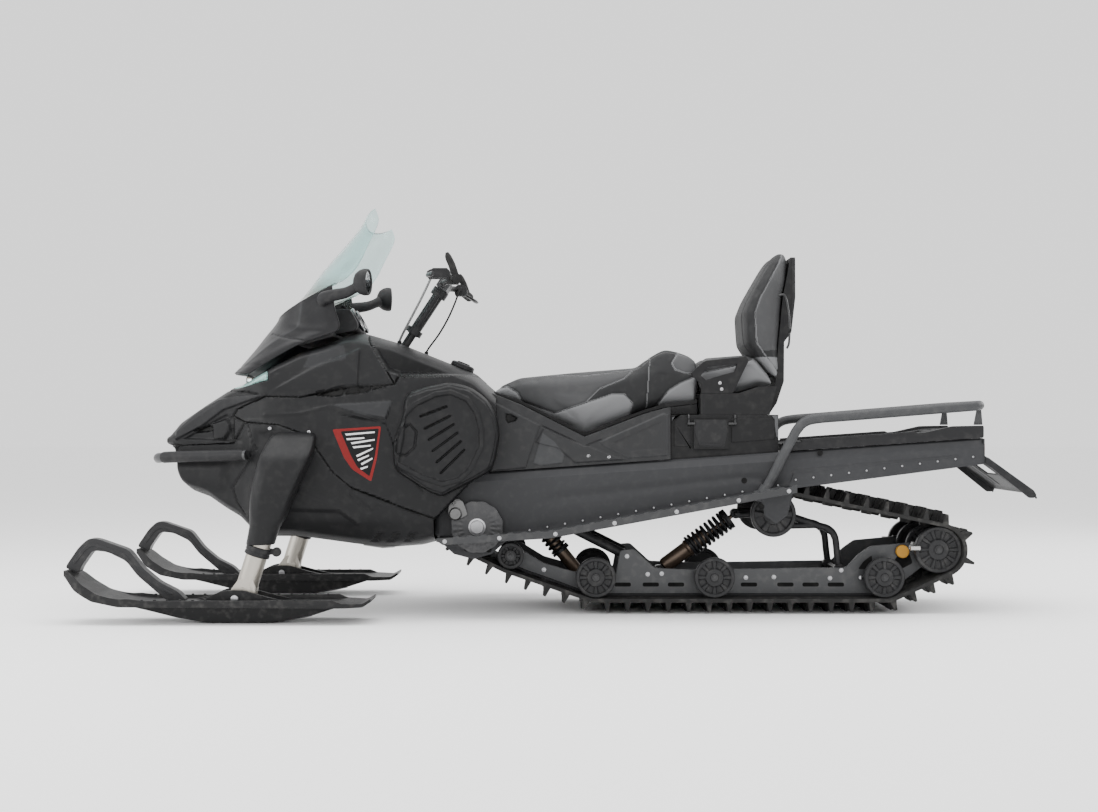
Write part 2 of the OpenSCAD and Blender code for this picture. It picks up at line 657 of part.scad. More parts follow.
mirror_at = [668, 363, 1154];
mirror_foot = [834, 270.3, 1104];
module mirrors() {
    color("#1f2021") both() {
        cross_bar([mirror_foot[0], mirror_foot[2]], 20, mirror_foot[1], mirror_foot[1] + 12);
        tube_sweep([mirror_foot + [0, 10, 0], mirror_foot + [-14, 20, 3], mirror_foot + [-54, 30, 12],
            [748, 306, 1122], [726, 318, 1130], mirror_at + [6, -6, 0]], 10, 12);
        translate(mirror_at) rotate([0, 78, 20]) {
            translate([0, 0, -15]) cylinder(r = 46, h = 30);
            translate([0, 0, -24]) cylinder(r = 30, h = 10);
        }
    }
}

bumper_r = 20;
bumper_route = [[1084, 331, 560], [1376, 220, 551], [1404, 205, 549], [1424, 182, 548], [1434, 152, 546],
    [1436, 120, 546]];
module front_bumper() {
    color("#38393b") {
        tube_sweep(concat(bumper_route, [for (p = backwards(bumper_route)) [p[0], -p[1], p[2]]]), bumper_r, 20);
        both() side([[1367.2, 532], [1378, 533], [1424, 540], [1424, 552], [1378, 556], [1369.8, 556]], 90, 116);
        both() translate([0, 0, 552]) linear_extrude(16)
            polygon([[1126, 265.6], [1094, 289.6], [1098, 328], [1130, 316]]);
    }
}

// ---------- steering ----------

post_r = 15;
post_base = [500, 0, 1060];
post_dir = [-0.5503, 0, 0.835];
function post_at(s) = post_base + s * post_dir;

module steering_column() {
    color("#1d1d1e") {
        bar(post_at(-190), post_at(-70), post_r);
        bar(post_at(-78), post_at(110), 20);
        bar(post_at(-76), post_at(-54), 30);
        both() bar(post_at(-40) + [0, 12, 0], post_at(92) + [0, 20, 0], 11);
        bar(post_at(88), post_at(118), 30);
    }
}

bar_at = post_at(136);
grip_r = 17;
// One half of the bar's bends, from its end to the middle, counted from bar_at.
function bar_route(half) = [[-70, half, -10], [-50, half - 128, 3], [-45, half - 156, 6], [-36, 196, 5],
    [-10, 128, 1], [-2, 112, 0], [0, 60, 0]];
module handlebar() {
    half = bar_span / 2;
    color("#19191a") {
        tube_sweep([for (p = concat(bar_route(half), backwards([for (q = bar_route(half)) [q[0], -q[1], q[2]]])))
            bar_at + p], 11.5, 16);
        both() tube_sweep([for (k = [0, 0.5, 1]) bar_at + [-71, half + 2, -10] * (1 - k)
            + [-50, half - 126, 2] * k], grip_r, 16);
        both() tube_sweep([for (p = [[-64, half - 8, 4], [-52, half - 7, 34], [-40, half - 6, 64],
            [-34, half - 6, 82]]) bar_at + p], 12.5, 16);
        translate(bar_at) rotate([0, -33.39, 0]) translate([-22, -60, -17.7]) cube([44, 120, 37]);
        // brake lever and its reservoir on the left, thumb throttle on the right
        translate(bar_at + [-36, 170, 8]) cube([82, 74, 30]);
        tube_sweep([for (p = [[24, 220, 20], [40, 250, 16], [38, 276, 13], [16, half - 40, 12]]) bar_at + p],
            7, 12);
        translate(bar_at + [-74, -half + 176, -22]) cube([50, 34, 44]);
        tube_sweep([for (p = [[-60, -half + 186, -14], [-92, -half + 156, -32], [-106, -half + 120, -40]])
            bar_at + p], 8, 12);
    }
}

// The brake hose and the throttle cable, from the levers down to the console's top.
hose_route = [[455.6, 167.5, 1195.4], [462, 152, 1190], [478, 134, 1160], [506, 112, 1108], [540, 84, 1050],
    [572, 56, 996], [586, 42, 969]];
cable_route = [[376, -172.7, 1171.4], [382, -158, 1164], [396, -136, 1120], [420, -108, 1060], [452, -80, 1000],
    [484, -62, 954], [496, -56, 934]];
module control_cables() {
    color("#101010") {
        tube_sweep(hose_route, 4.5);
        tube_sweep(cable_route, 3.5);
    }
}
// ---------- legs and skis ----------

leg_foot = [1063, 111];
leg_y = ski_stance / 2;
function leg_x(z) = leg_foot[0] - (z - leg_foot[1]) * tan(leg_lean);
function leg_point(z) = [leg_x(z), leg_y, z];
leg_r = leg_d / 2;
sleeve_low = 270;
sleeve_top = 520;

module fork_housings() {
    inner = body_half + seat_gap;
    color("#2f3032") both() difference() {
        union() {
            bar(leg_point(sleeve_low), leg_point(sleeve_top), leg_r + 10);
            hull() {
                bar(leg_point(330), leg_point(sleeve_top), leg_r + 12, $fn = 32);
                side([[leg_x(330) + 58, 352], [leg_x(500) + 66, 540], [leg_x(560) + 36, 578],
                    [leg_x(560) - 34, 578], [leg_x(500) - 60, 540], [leg_x(330) - 62, 352]], inner, inner + 8);
            }
        }
        bar(leg_point(sleeve_low - 20), leg_point(sleeve_top - 30), leg_r + run_gap);
        side([[1400, 100], [1400, 700], [600, 700], [600, 100]], 0, inner);
    }
}

ski_top = 72;
bolt_at = [1090, 84];
module fork_leg() {
    color("#b9b3a6") {
        bar(leg_point(leg_foot[1] + 4), leg_point(sleeve_top - 60), leg_r);
        difference() {
            union() {
                bar(leg_point(sleeve_low - 46), leg_point(sleeve_low - 16), leg_r + 7);
                side([[leg_x(240) - 36, 226], [leg_x(240) - 36, 252], [leg_x(240) - 72, 246],
                    [leg_x(240) - 72, 226]], leg_y - 8, leg_y + 8);
            }
            cross_bar([leg_x(240) - 60, 236], 6, leg_y - 10, leg_y + 10);
        }
        side([[1030, ski_top + seat_gap], [1120, ski_top + seat_gap], [1112, 112], [1092, 128], [1036, 128]],
            leg_y - 34, leg_y + 34);
        cross_bar(bolt_at, 8, leg_y - 60, leg_y + 60);
    }
}

ski_tip_x = 1665;
module ski() {
    half = ski_w / 2;
    color("#2b2c2e") translate([0, leg_y, 0]) difference() {
        union() {
            intersection() {
                side([[ski_tip_x, 163], [1624, 112], [1560, 76], [1470, 59], [738, 55], [661, 56], [632, 74],
                    [634, 86], [662, 70], [720, ski_top], [1380, ski_top], [1470, 82], [1545, 104],
                    [1596, 136], [1626, 168], [1650, 178]], -half, half);
                linear_extrude(400) polygon([[ski_tip_x, -half * 0.5], [1600, -half * 0.85], [1460, -half],
                    [720, -half], [632, -half * 0.8], [632, half * 0.8], [720, half], [1460, half],
                    [1600, half * 0.85], [ski_tip_x, half * 0.5]]);
            }
            side([[1466, 60], [1381, 40], [1288, 17], [1187, 0], [971, 0], [839, 24], [738, 56]], -46, 46);
            both() side([[1250, ski_top - 1], [1180, 88], [1145, 108], [1040, 110], [985, 92],
                [900, ski_top - 1]], 40, 54);
            both() side([[1500, 80], [1440, 92], [760, 84], [720, ski_top - 1], [1440, ski_top - 1]],
                half - 12, half - 2);
        }
        cross_bar(bolt_at, 8.3, -80, 80);
    }
}

module ski_loop() {
    color("#303134") translate([0, leg_y, 0])
        side([[1660, 182], [1664, 190], [1621, 253], [1588, 283], [1560, 283], [1454, 246], [1404, 182],
            [1350, 137], [1288, 106], [1257, ski_top + seat_gap], [1322, ski_top + seat_gap], [1350, 96],
            [1423, 158], [1462, 208], [1524, 238], [1574, 243], [1613, 187], [1618, 172], [1626, 168.5],
            [1649, 178.6]], -24, 24);
}

// ---------- seats ----------

module driver_seat() {
    half = seat_w / 2;
    color("#4a4b4d") intersection() {
        side([[258, 784], [203, 806], [149, 830], [-45, 849], [-281, 868], [-327, 908], [-373, 935],
            [-459, 919], [-487, 903], [-487, 740], [-371, 726], [-292, 704], [-84, 623], [140, 736],
            [248, 780]], -half - 20, half + 20);
        linear_extrude(1000) polygon([[260, -96], [60, -half + 10], [-300, -half], [-487, -half - 2],
            [-487, half + 2], [-300, half], [60, half - 10], [260, 96]]);
        rotate([90, 0, 90]) translate([0, 0, -700]) linear_extrude(1400) polygon([[-half - 20, 600],
            [half + 20, 600], [half + 2, 836], [half - 32, 926], [half - 60, 950], [60 - half, 950],
            [32 - half, 926], [-half - 2, 836]]);
    }
}

cover_out = tunnel_half - 4;
module foot_covers() {
    color("#424345") both() difference() {
        side([[246, 778.4], [140, 735.2], [-84, 622], [-292, 703.2], [-371, 725.2], [-384, 726.8],
            [-384, tunnel_top(-384) + seat_gap], [216, tunnel_top(216) + seat_gap], [216, 760]],
            cover_out - 150, cover_out);
        side([[160, 700], [-60, 584], [-290, 660], [-350, 672], [-350, tunnel_top(-350) + 12],
            [180, tunnel_top(180) + 12], [180, 690]], cover_out - 160, cover_out - 20);
    }
}

handle_y = seat_w / 2 + 22;                       // inner face of a grab handle
base_half = handle_y + 30;
lid_gap = 0.5;
box_front = -388;
box_back = -765;
box_half = base_half + 2;
box_wall = 5;
box_top = 700;
module storage_box() {
    color("#29292b") {
        difference() {
            side([[box_front, box_top], [box_back, box_top], [box_back, tunnel_top(box_back) + seat_gap],
                [box_front, tunnel_top(box_front) + seat_gap]], -box_half, box_half);
            side([[box_front - box_wall, box_top + 1], [box_back + box_wall, box_top + 1],
                [box_back + box_wall, tunnel_top(box_back) + 10], [box_front - box_wall, tunnel_top(box_front) + 10]],
                -box_half + box_wall, box_half - box_wall);
        }
        translate([-588, box_half - 0.5, 580]) cube([122, 16, 104]);
        for (x = [-436, -716]) {
            translate([x - 10, -hinge_y - 9, hinge_z - 32]) cube([20, hinge_y - box_half + 10, 15]);
            translate([x - 10, -hinge_y - 9, hinge_z - 18]) cube([20, 20, 27]);
        }
        translate([-720, -hinge_y, hinge_z]) rotate([0, 90, 0]) cylinder(r = hinge_pin_r, h = 280);
    }
}

hinge_y = box_half + 14;
hinge_z = 716;
hinge_pin_r = 4;
hinge_play = 0.5;
module seat_base() {
    color("#2c2d2e") difference() {
        union() {
            side([[-492, 744], [-492, box_top + lid_gap], [-730, box_top + lid_gap], [-757, 770], [-766, 820],
                [-776, 950], [-792, 1120], [-820, 1262], [-836, 1262], [-836, 1118], [-822, 994], [-797, 960],
                [-796, 820], [-770, 742], [-746, box_top + lid_gap + 6]], -150, 150);
            side([[-492, 774], [-492, box_top + lid_gap], [-735, box_top + lid_gap], [-760, 800],
                [-700, 800], [-627, 776]], -base_half, base_half);
            translate([-690, -hinge_y, hinge_z]) rotate([0, 90, 0]) cylinder(r = 9, h = 220);
            translate([-690, -hinge_y, hinge_z - 8]) cube([220, 20, 12]);
        }
        translate([-740, -hinge_y, hinge_z]) rotate([0, 90, 0]) cylinder(r = hinge_pin_r + hinge_play, h = 400);
    }
}

module passenger_cushion() {
    color("#4d4e50") side([[-492.5, 900], [-560, 906], [-651, 913], [-690, 905], [-758, 822], [-758, 801],
        [-700, 801], [-627, 777], [-492.5, 775]], -seat_w / 2 - 18, seat_w / 2 + 18);
}

module backrest_cushion() {
    color("#505153") side([[-692, 906], [-656, 955], [-650, 1062], [-673, 1118], [-745, 1240], [-770, 1276],
        [-791, 1291], [-818, 1284], [-819.4, 1262.5], [-791.4, 1120], [-775.4, 950], [-765.4, 824]], -back_w / 2, back_w / 2);
}

module grab_handles() {
    y0 = handle_y;
    y1 = handle_y + 28;
    color("#262728") both() difference() {
        side([[-458, 846], [-498, 884], [-510, 890], [-652, 905], [-662, 892], [-606, 777], [-494, 774.5],
            [-494, 806]], y0, y1);
        side([[-493, 838], [-517, 868], [-622, 880], [-612, 852], [-560, 838], [-511, 822]], y0 - 1, y1 + 1);
    }
}

// ---------- nodes ----------

tunnel();
running_boards();
belly_pan();
hood();
side_panel_left();
side_panel_right();
nose_cover();
headlights();
windshield_cowl();
windshield();
mirrors();
console();
fuel_cap();
engine_block();
front_bumper();
fork_housings();
driver_seat();
foot_covers();
storage_box();
cargo_deck();
cargo_rack();
tail_lamps();
snow_flap();
tow_hitch();
brake_caliper();
drive_axle();
track();
slide_rails();
bogie_wheels();
rear_wheels();
carrier_wheels();
suspension_arms();
shock_absorbers();
steering_column();
handlebar();
control_cables();
fork_leg();  // fork_leg_left
ski();  // ski_left
ski_loop();  // ski_loop_left
mirror([0, 1, 0]) fork_leg();  // fork_leg_right
mirror([0, 1, 0]) ski();  // ski_right
mirror([0, 1, 0]) ski_loop();  // ski_loop_right
seat_base();
passenger_cushion();
backrest_cushion();
grab_handles();
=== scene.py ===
"""Two-up utility snowmobile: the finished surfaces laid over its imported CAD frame."""

import bmesh
import bpy
import numpy as np
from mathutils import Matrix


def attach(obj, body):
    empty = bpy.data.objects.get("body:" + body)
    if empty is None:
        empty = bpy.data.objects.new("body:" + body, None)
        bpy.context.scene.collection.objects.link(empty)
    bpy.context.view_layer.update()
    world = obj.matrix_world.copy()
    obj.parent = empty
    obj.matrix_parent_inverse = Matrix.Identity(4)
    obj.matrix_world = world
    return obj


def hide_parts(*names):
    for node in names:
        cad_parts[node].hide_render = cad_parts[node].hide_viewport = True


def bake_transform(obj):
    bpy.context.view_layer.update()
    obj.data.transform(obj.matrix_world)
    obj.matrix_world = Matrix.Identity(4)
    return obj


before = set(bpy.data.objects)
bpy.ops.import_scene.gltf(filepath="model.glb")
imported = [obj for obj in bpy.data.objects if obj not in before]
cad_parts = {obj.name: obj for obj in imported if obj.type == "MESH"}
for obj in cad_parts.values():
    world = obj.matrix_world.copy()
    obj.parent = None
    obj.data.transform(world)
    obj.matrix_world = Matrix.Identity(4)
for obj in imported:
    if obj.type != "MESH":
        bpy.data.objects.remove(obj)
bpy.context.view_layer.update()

# ---- Camera, floor and lights ----
# A level camera on the left side at seat height, a pale studio floor, one wide soft light overhead,
# a soft wall of light behind the camera and two long strips that draw highlights on the dark plastics.
camera = bpy.data.objects.new("camera", bpy.data.cameras.new("camera"))
camera.data.lens, camera.data.sensor_width = 50, 36
camera.data.shift_y = 0.0173
camera.location = (0.042, 5.59, 0.664)
camera.rotation_euler = (np.pi / 2, 0, np.pi)
bpy.context.scene.collection.objects.link(camera)
bpy.context.scene.camera = camera

floor_mesh = bpy.data.meshes.new("studio_floor")
floor_mesh.from_pydata([(-40, -40, 0), (40, -40, 0), (40, 40, 0), (-40, 40, 0)], [], [(0, 1, 2, 3)])
studio_floor = bpy.data.objects.new("studio_floor", floor_mesh)
bpy.context.scene.collection.objects.link(studio_floor)
floor_paint = bpy.data.materials.new("studio_floor_paint")
floor_paint.use_nodes = True
floor_paint.node_tree.nodes["Principled BSDF"].inputs["Base Color"].default_value = (0.97, 0.97, 0.97, 1)
floor_paint.node_tree.nodes["Principled BSDF"].inputs["Roughness"].default_value = 0.85
floor_mesh.materials.append(floor_paint)

sky = bpy.data.worlds.new("studio_air")
sky.use_nodes = True
sky.node_tree.nodes["Background"].inputs["Color"].default_value = (1, 1, 1, 1)
sky.node_tree.nodes["Background"].inputs["Strength"].default_value = 1.45
bpy.context.scene.world = sky
for lamp_name, place, turn, width, depth, power in (
        ("overhead_softbox", (0, 0.4, 4.2), (0, 0, 0), 6.5, 3.2, 260),
        ("front_wall", (0.6, 6.5, 2.6), (-1.25, 0, 0), 7, 2.6, 120),
        ("nose_strip", (4.6, 1.8, 1.7), (0, 1.3, 0.35), 1.2, 3.5, 90),
        ("tail_strip", (-4.4, -1.6, 2.0), (0, -1.2, 0.3), 1.2, 3.5, 70)):
    softbox = bpy.data.objects.new(lamp_name, bpy.data.lights.new(lamp_name, "AREA"))
    softbox.data.shape, softbox.data.size, softbox.data.size_y = "RECTANGLE", width, depth
    softbox.data.energy = power
    softbox.location, softbox.rotation_euler = place, turn
    bpy.context.scene.collection.objects.link(softbox)

# ---- Tunnel ----
# The folded sheet-aluminium channel that carries the machine and covers the track. It is pressed with
# stiffening ribs, powder-coated dark grey, and riveted to the running boards and the rear plate.


def grid_quads(rows, cols, round_rows=False, round_cols=False):
    """Faces of a rows x cols net of points: each joins a point to its right, diagonal and lower neighbour."""
    i, j = np.meshgrid(np.arange(rows - (not round_rows)), np.arange(cols - (not round_cols)), indexing="ij")
    down, right = (i + 1) % rows, (j + 1) % cols
    return np.stack([i * cols + j, i * cols + right, down * cols + right, down * cols + j], -1).reshape(-1, 4)


def make(name, points, faces, body, slot, look, hides=(), inside=None, wall=0.0, soften=0.0, tones=None,
         crease=35):
    """One piece from points in millimetres. Its faces turn away from the point `inside`, or outwards all
    round where it is a closed shell. wall thickens a sheet inwards and soften rounds its edges."""
    mesh = bpy.data.meshes.new(name)
    spots = np.asarray(points, float).reshape(-1, 3) * 0.001
    mesh.from_pydata(spots.tolist(), [], [list(f) for f in (faces.tolist() if hasattr(faces, "tolist") else faces)])
    if tones is not None:
        tone = mesh.attributes.new("tone", "FLOAT", "POINT")
        tone.data.foreach_set("value", np.asarray(tones, np.float32).ravel())
    net = bmesh.new()
    net.from_mesh(mesh)
    if inside is None:
        bmesh.ops.remove_doubles(net, verts=net.verts, dist=1e-6)
        bmesh.ops.recalc_face_normals(net, faces=net.faces)
    net.to_mesh(mesh)
    net.free()
    if inside is not None:
        middles, ways = np.empty(len(mesh.polygons) * 3), np.empty(len(mesh.polygons) * 3)
        mesh.polygons.foreach_get("center", middles)
        mesh.polygons.foreach_get("normal", ways)
        away = middles.reshape(-1, 3) - np.asarray(inside, float) * 0.001
        if (away * ways.reshape(-1, 3)).sum() < 0:
            mesh.flip_normals()
    mesh.shade_smooth()
    mesh.set_sharp_from_angle(angle=np.radians(crease))
    mesh.materials.append(look)
    part = bpy.data.objects.new(name, mesh)
    bpy.context.scene.collection.objects.link(part)
    if wall:
        skin = part.modifiers.new("wall", "SOLIDIFY")
        skin.thickness, skin.offset = wall * 0.001, -1
    if soften:
        edge = part.modifiers.new("soft_edges", "BEVEL")
        edge.width, edge.segments, edge.limit_method = soften * 0.001, 2, "ANGLE"
        edge.angle_limit, edge.harden_normals = np.radians(crease), True
    if body:
        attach(part, body)
    if hides:
        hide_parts(*hides)
    return part


def fine_surface_group():
    """Shader group: two scales of noise in Object coordinates. Height is the fine grain of the moulded or painted skin,
    Mottle its slow change of gloss, Dust a mask of specks in patches of a third noise."""
    group = bpy.data.node_groups.new("fine_surface", "ShaderNodeTree")
    for label, start in (("Grain Size", 900.0), ("Mottle Size", 6.0)):
        group.interface.new_socket(label, in_out="INPUT", socket_type="NodeSocketFloat").default_value = start
    for label in ("Height", "Mottle", "Dust"):
        group.interface.new_socket(label, in_out="OUTPUT", socket_type="NodeSocketFloat")
    n, wire = group.nodes, group.links.new
    given, out, where = n.new("NodeGroupInput"), n.new("NodeGroupOutput"), n.new("ShaderNodeTexCoord")
    grain, slow, specks = (n.new("ShaderNodeTexNoise") for _ in range(3))
    grain.inputs["Detail"].default_value, slow.inputs["Detail"].default_value = 2, 3
    specks.inputs["Scale"].default_value, specks.inputs["Detail"].default_value = 38, 6
    for noise in (grain, slow, specks):
        wire(where.outputs["Object"], noise.inputs["Vector"])
    wire(given.outputs["Grain Size"], grain.inputs["Scale"])
    wire(given.outputs["Mottle Size"], slow.inputs["Scale"])
    settle = n.new("ShaderNodeMapRange")
    settle.inputs["From Min"].default_value, settle.inputs["From Max"].default_value = 0.5, 0.78
    wire(specks.outputs["Fac"], settle.inputs["Value"])
    wire(grain.outputs["Fac"], out.inputs["Height"])
    wire(slow.outputs["Fac"], out.inputs["Mottle"])
    wire(settle.outputs["Result"], out.inputs["Dust"])
    return group


fine_surface = fine_surface_group()


def finish(name, colour, gloss, metal=0.0, grain=900.0, depth=0.02, spread=0.12, dust=0.1, zones=(), coat=0.0):
    """A skin's material: colour mottled by `spread`, roughness `gloss` give or take the mottle, a bump of the
    grain in millimetres `depth`, pale dust by `dust`, and other colours where the tone attribute is in a zone."""
    look = bpy.data.materials.new(name)
    look.use_nodes = True
    n, wire = look.node_tree.nodes, look.node_tree.links.new
    skin = n["Principled BSDF"]
    skin.inputs["Metallic"].default_value = metal
    skin.inputs["Coat Weight"].default_value = coat
    skin.inputs["Coat Roughness"].default_value = 0.12
    skin.inputs["Specular IOR Level"].default_value = 0.5 if metal or coat else 0.16
    texture = n.new("ShaderNodeGroup")
    texture.node_tree = fine_surface
    texture.inputs["Grain Size"].default_value = grain
    paint = n.new("ShaderNodeMix")
    paint.data_type = "RGBA"
    paint.inputs["A"].default_value = tuple(c * (1 - spread) for c in colour) + (1,)
    paint.inputs["B"].default_value = tuple(min(1, c * (1 + spread)) for c in colour) + (1,)
    wire(texture.outputs["Mottle"], paint.inputs["Factor"])
    shown = paint.outputs["Result"]
    for low, high, other in zones:
        tone = n.new("ShaderNodeAttribute")
        tone.attribute_name = "tone"
        pick = n.new("ShaderNodeMapRange")
        pick.inputs["From Min"].default_value, pick.inputs["From Max"].default_value = low, high
        wire(tone.outputs["Fac"], pick.inputs["Value"])
        over = n.new("ShaderNodeMix")
        over.data_type = "RGBA"
        over.inputs["B"].default_value = tuple(other) + (1,)
        wire(pick.outputs["Result"], over.inputs["Factor"])
        wire(shown, over.inputs["A"])
        shown = over.outputs["Result"]
    dusty = n.new("ShaderNodeMix")
    dusty.data_type = "RGBA"
    dusty.inputs["B"].default_value = (0.30, 0.29, 0.27, 1)
    amount = n.new("ShaderNodeMath")
    amount.operation = "MULTIPLY"
    amount.inputs[1].default_value = dust * 0.3
    wire(texture.outputs["Dust"], amount.inputs[0])
    wire(amount.outputs["Value"], dusty.inputs["Factor"])
    wire(shown, dusty.inputs["A"])
    wire(dusty.outputs["Result"], skin.inputs["Base Color"])
    shine = n.new("ShaderNodeMapRange")
    shine.inputs["To Min"].default_value, shine.inputs["To Max"].default_value = gloss - 0.06, gloss + 0.08
    wire(texture.outputs["Mottle"], shine.inputs["Value"])
    wire(shine.outputs["Result"], skin.inputs["Roughness"])
    bump = n.new("ShaderNodeBump")
    bump.inputs["Strength"].default_value = 0.6
    bump.inputs["Distance"].default_value = depth * 0.01
    wire(texture.outputs["Height"], bump.inputs["Height"])
    wire(bump.outputs["Normal"], skin.inputs["Normal"])
    return look


powder_coat = finish("dark_powder_coat", (0.030, 0.0305, 0.0325), 0.46, grain=520, depth=0.05)


def along(x, table):
    """Reads a height or width from a table of (x, value) pairs by straight lines between them."""
    table = np.array(sorted(table), float)
    return np.interp(x, table[:, 0], table[:, 1])


tunnel_side_y, tail_x = 262.0, -1481.0
tunnel_foot = ((440.5, 284), (415, 250), (374, 213), (306, 195), (243, 213), (187, 262), (-634, 410), (-640, 404),
               (-700, 395), (-712, 347), (-751, 318), (-790, 347), (-806, 400), (-812, 442), (-1481, 528))


def tunnel_roof(x):
    """Height of the tunnel's top: a straight climb of 0.0696 towards the tail."""
    return 618 - (np.asarray(x, float) - tail_x) * 0.0696


def tunnel_surface():
    """Net over x and over the fold line: up the left wall with a pressed band, in over the bevelled shoulder,
    across the top with three low ribs, and down the right wall. Each wall runs from the foot to the shoulder."""
    x = np.unique(np.concatenate([np.linspace(tail_x, 440.5, 120), [p[0] for p in tunnel_foot]]))[:, None]
    rise = np.array([0, .02, .06, .1, .14, .2, .3, .4, .5, .56, .6, .64, .7, .8, .9, .96, 1.0])[None]
    roof, foot = tunnel_roof(x), along(x, tunnel_foot)
    z = foot + (roof - 30 - foot) * rise
    pressed = np.clip((0.07 - abs(rise - 0.60)) / 0.03, 0, 1)
    pressed = pressed * np.clip((x + 1420) / 40, 0, 1) * np.clip((80 - x) / 60, 0, 1)
    y = tunnel_side_y - 3.0 * pressed - 1.5 * np.clip((0.05 - abs(rise - 0.10)) / 0.03, 0, 1)
    across = np.array([258, 250, 240, 180, 172, 164, 156, 148, 20, 12, 0])[None]
    top_y = across + 0 * x
    top_z = roof - np.interp(across, [0, 240, 250, 258], [0, 0, 6, 22]) + 0 * x
    top_z = top_z - 3 * np.clip((10 - abs(across - 164)) / 6, 0, 1)
    half = np.stack([x + 0 * np.hstack([y, top_y]), np.hstack([y, top_y]), np.hstack([z, top_z])], -1)
    mirror = half[:, -2::-1] * [1, -1, 1]
    return np.concatenate([half, mirror], 1)


net = tunnel_surface()
make("tunnel_sheet", net, grid_quads(*net.shape[:2]), "chassis", "coated_metal", powder_coat, ["tunnel"],
     inside=(-500, 0, 300), wall=4, crease=25)


def tube_faces(rows, cols):
    """Faces of a closed tube: the net's quads, joined round the columns, and one flat face on each end row."""
    ends = [list(range(cols)), list(range((rows - 1) * cols, rows * cols))]
    return grid_quads(rows, cols, round_cols=True).tolist() + ends


def sweep(path, shape):
    """Carries a closed shape, given as (sideways, up) pairs, along a path: at each point the sideways arrow is
    level and square to the path, and the up arrow square to both. Returns points and faces with ends."""
    path, shape = np.asarray(path, float), np.asarray(shape, float)
    way = np.gradient(path, axis=0)
    way /= np.linalg.norm(way, axis=1, keepdims=True)
    level = np.cross(way, [0, 0, 1.0])
    length = np.linalg.norm(level, axis=1, keepdims=True)
    level = np.where(length > 1e-3, level / np.maximum(length, 1e-3), [0, 1.0, 0])
    upright = np.cross(level, way)
    points = path[:, None] + level[:, None] * shape[None, :, :1] + upright[:, None] * shape[None, :, 1:]
    return points, tube_faces(len(path), len(shape))


def ring_shape(radius, sides=16, squash=1.0):
    """A circle of points, or an ellipse `squash` times as high."""
    turn = np.arange(sides) * 2 * np.pi / sides
    return np.stack([radius * np.cos(turn), squash * radius * np.sin(turn)], -1)


def bend_through(points, per=8):
    """A smooth line through the points: the cubic whose slope at each point is half the step between its
    neighbours, with `per` points to each stretch."""
    p = np.asarray(points, float)
    p = np.concatenate([2 * p[:1] - p[1:2], p, 2 * p[-1:] - p[-2:-1]])
    t = np.linspace(0, 1, per, endpoint=False)[None, :, None]
    a, b, c, d = (p[k:len(p) - 3 + k, None] for k in range(4))
    line = 0.5 * (2 * b + (c - a) * t + (2 * a - 5 * b + 4 * c - d) * t ** 2 + (3 * b - a - 3 * c + d) * t ** 3)
    return np.concatenate([line.reshape(-1, p.shape[1]), p[-2:-1]])


def rounded(outline, radius, per=4):
    """A closed outline whose corners are cut back by `radius`, or less on a short side, and rounded by a
    parabola with `per` steps."""
    p = np.asarray(outline, float)
    back, ahead = np.roll(p, 1, 0) - p, np.roll(p, -1, 0) - p
    size_b, size_a = (np.linalg.norm(v, axis=1, keepdims=True) for v in (back, ahead))
    b = p + back / size_b * np.minimum(radius, size_b * 0.45)
    a = p + ahead / size_a * np.minimum(radius, size_a * 0.45)
    t = np.linspace(0, 1, per)[None, :, None]
    return ((1 - t) ** 2 * b[:, None] + 2 * t * (1 - t) * p[:, None] + t ** 2 * a[:, None]).reshape(-1, p.shape[1])


def slab(outline, y0, y1):
    """A plate: an outline in (x, z) carried straight across from y0 to y1, closed at both sides."""
    p = np.asarray(outline, float)
    return np.stack([np.insert(p, 1, y, axis=1) for y in (y0, y1)]), tube_faces(2, len(p))


def together(*parts):
    """Joins several (points, faces) pairs into one."""
    points, faces, start = [], [], 0
    for spots, sides in parts:
        spots = np.asarray(spots, float).reshape(-1, 3)
        points.append(spots)
        faces += [[int(v) + start for v in f] for f in sides]
        start += len(spots)
    return np.concatenate(points), faces


def both_sides(part):
    """A part and its mirror image across the middle."""
    points = np.asarray(part[0], float).reshape(-1, 3)
    return together((points, part[1]), (points * [1, -1, 1], [list(f)[::-1] for f in part[1]]))


def turned(profile, place, sides=32, axis="y"):
    """A turned part: (along the axis, radius) pairs spun round an axis through `place`."""
    p = np.asarray(profile, float)
    turn = (np.arange(sides) * 2 * np.pi / sides)[None]
    ring = np.stack([p[:, 1:] * np.cos(turn), p[:, :1] + 0 * turn, p[:, 1:] * np.sin(turn)], -1)
    if axis == "z":
        ring = ring[..., [0, 2, 1]] * [1, -1, 1]
    if axis == "x":
        ring = ring[..., [1, 0, 2]] * [1, -1, 1]
    k = len(p)
    faces = grid_quads(k, sides, round_cols=True).tolist()
    for row in (0, k - 1):
        if p[row, 1] > 1e-6:
            faces.append(list(range(row * sides, (row + 1) * sides)))
    return ring + np.asarray(place, float), faces


def copies(part, moves):
    """The same part set down once at each move."""
    points = np.asarray(part[0], float).reshape(-1, 3)
    moves = np.asarray(moves, float)
    n = len(points)
    spots = (moves[:, None] + points[None]).reshape(-1, 3)
    return spots, [[v + n * k for v in f] for k in range(len(moves)) for f in part[1]]


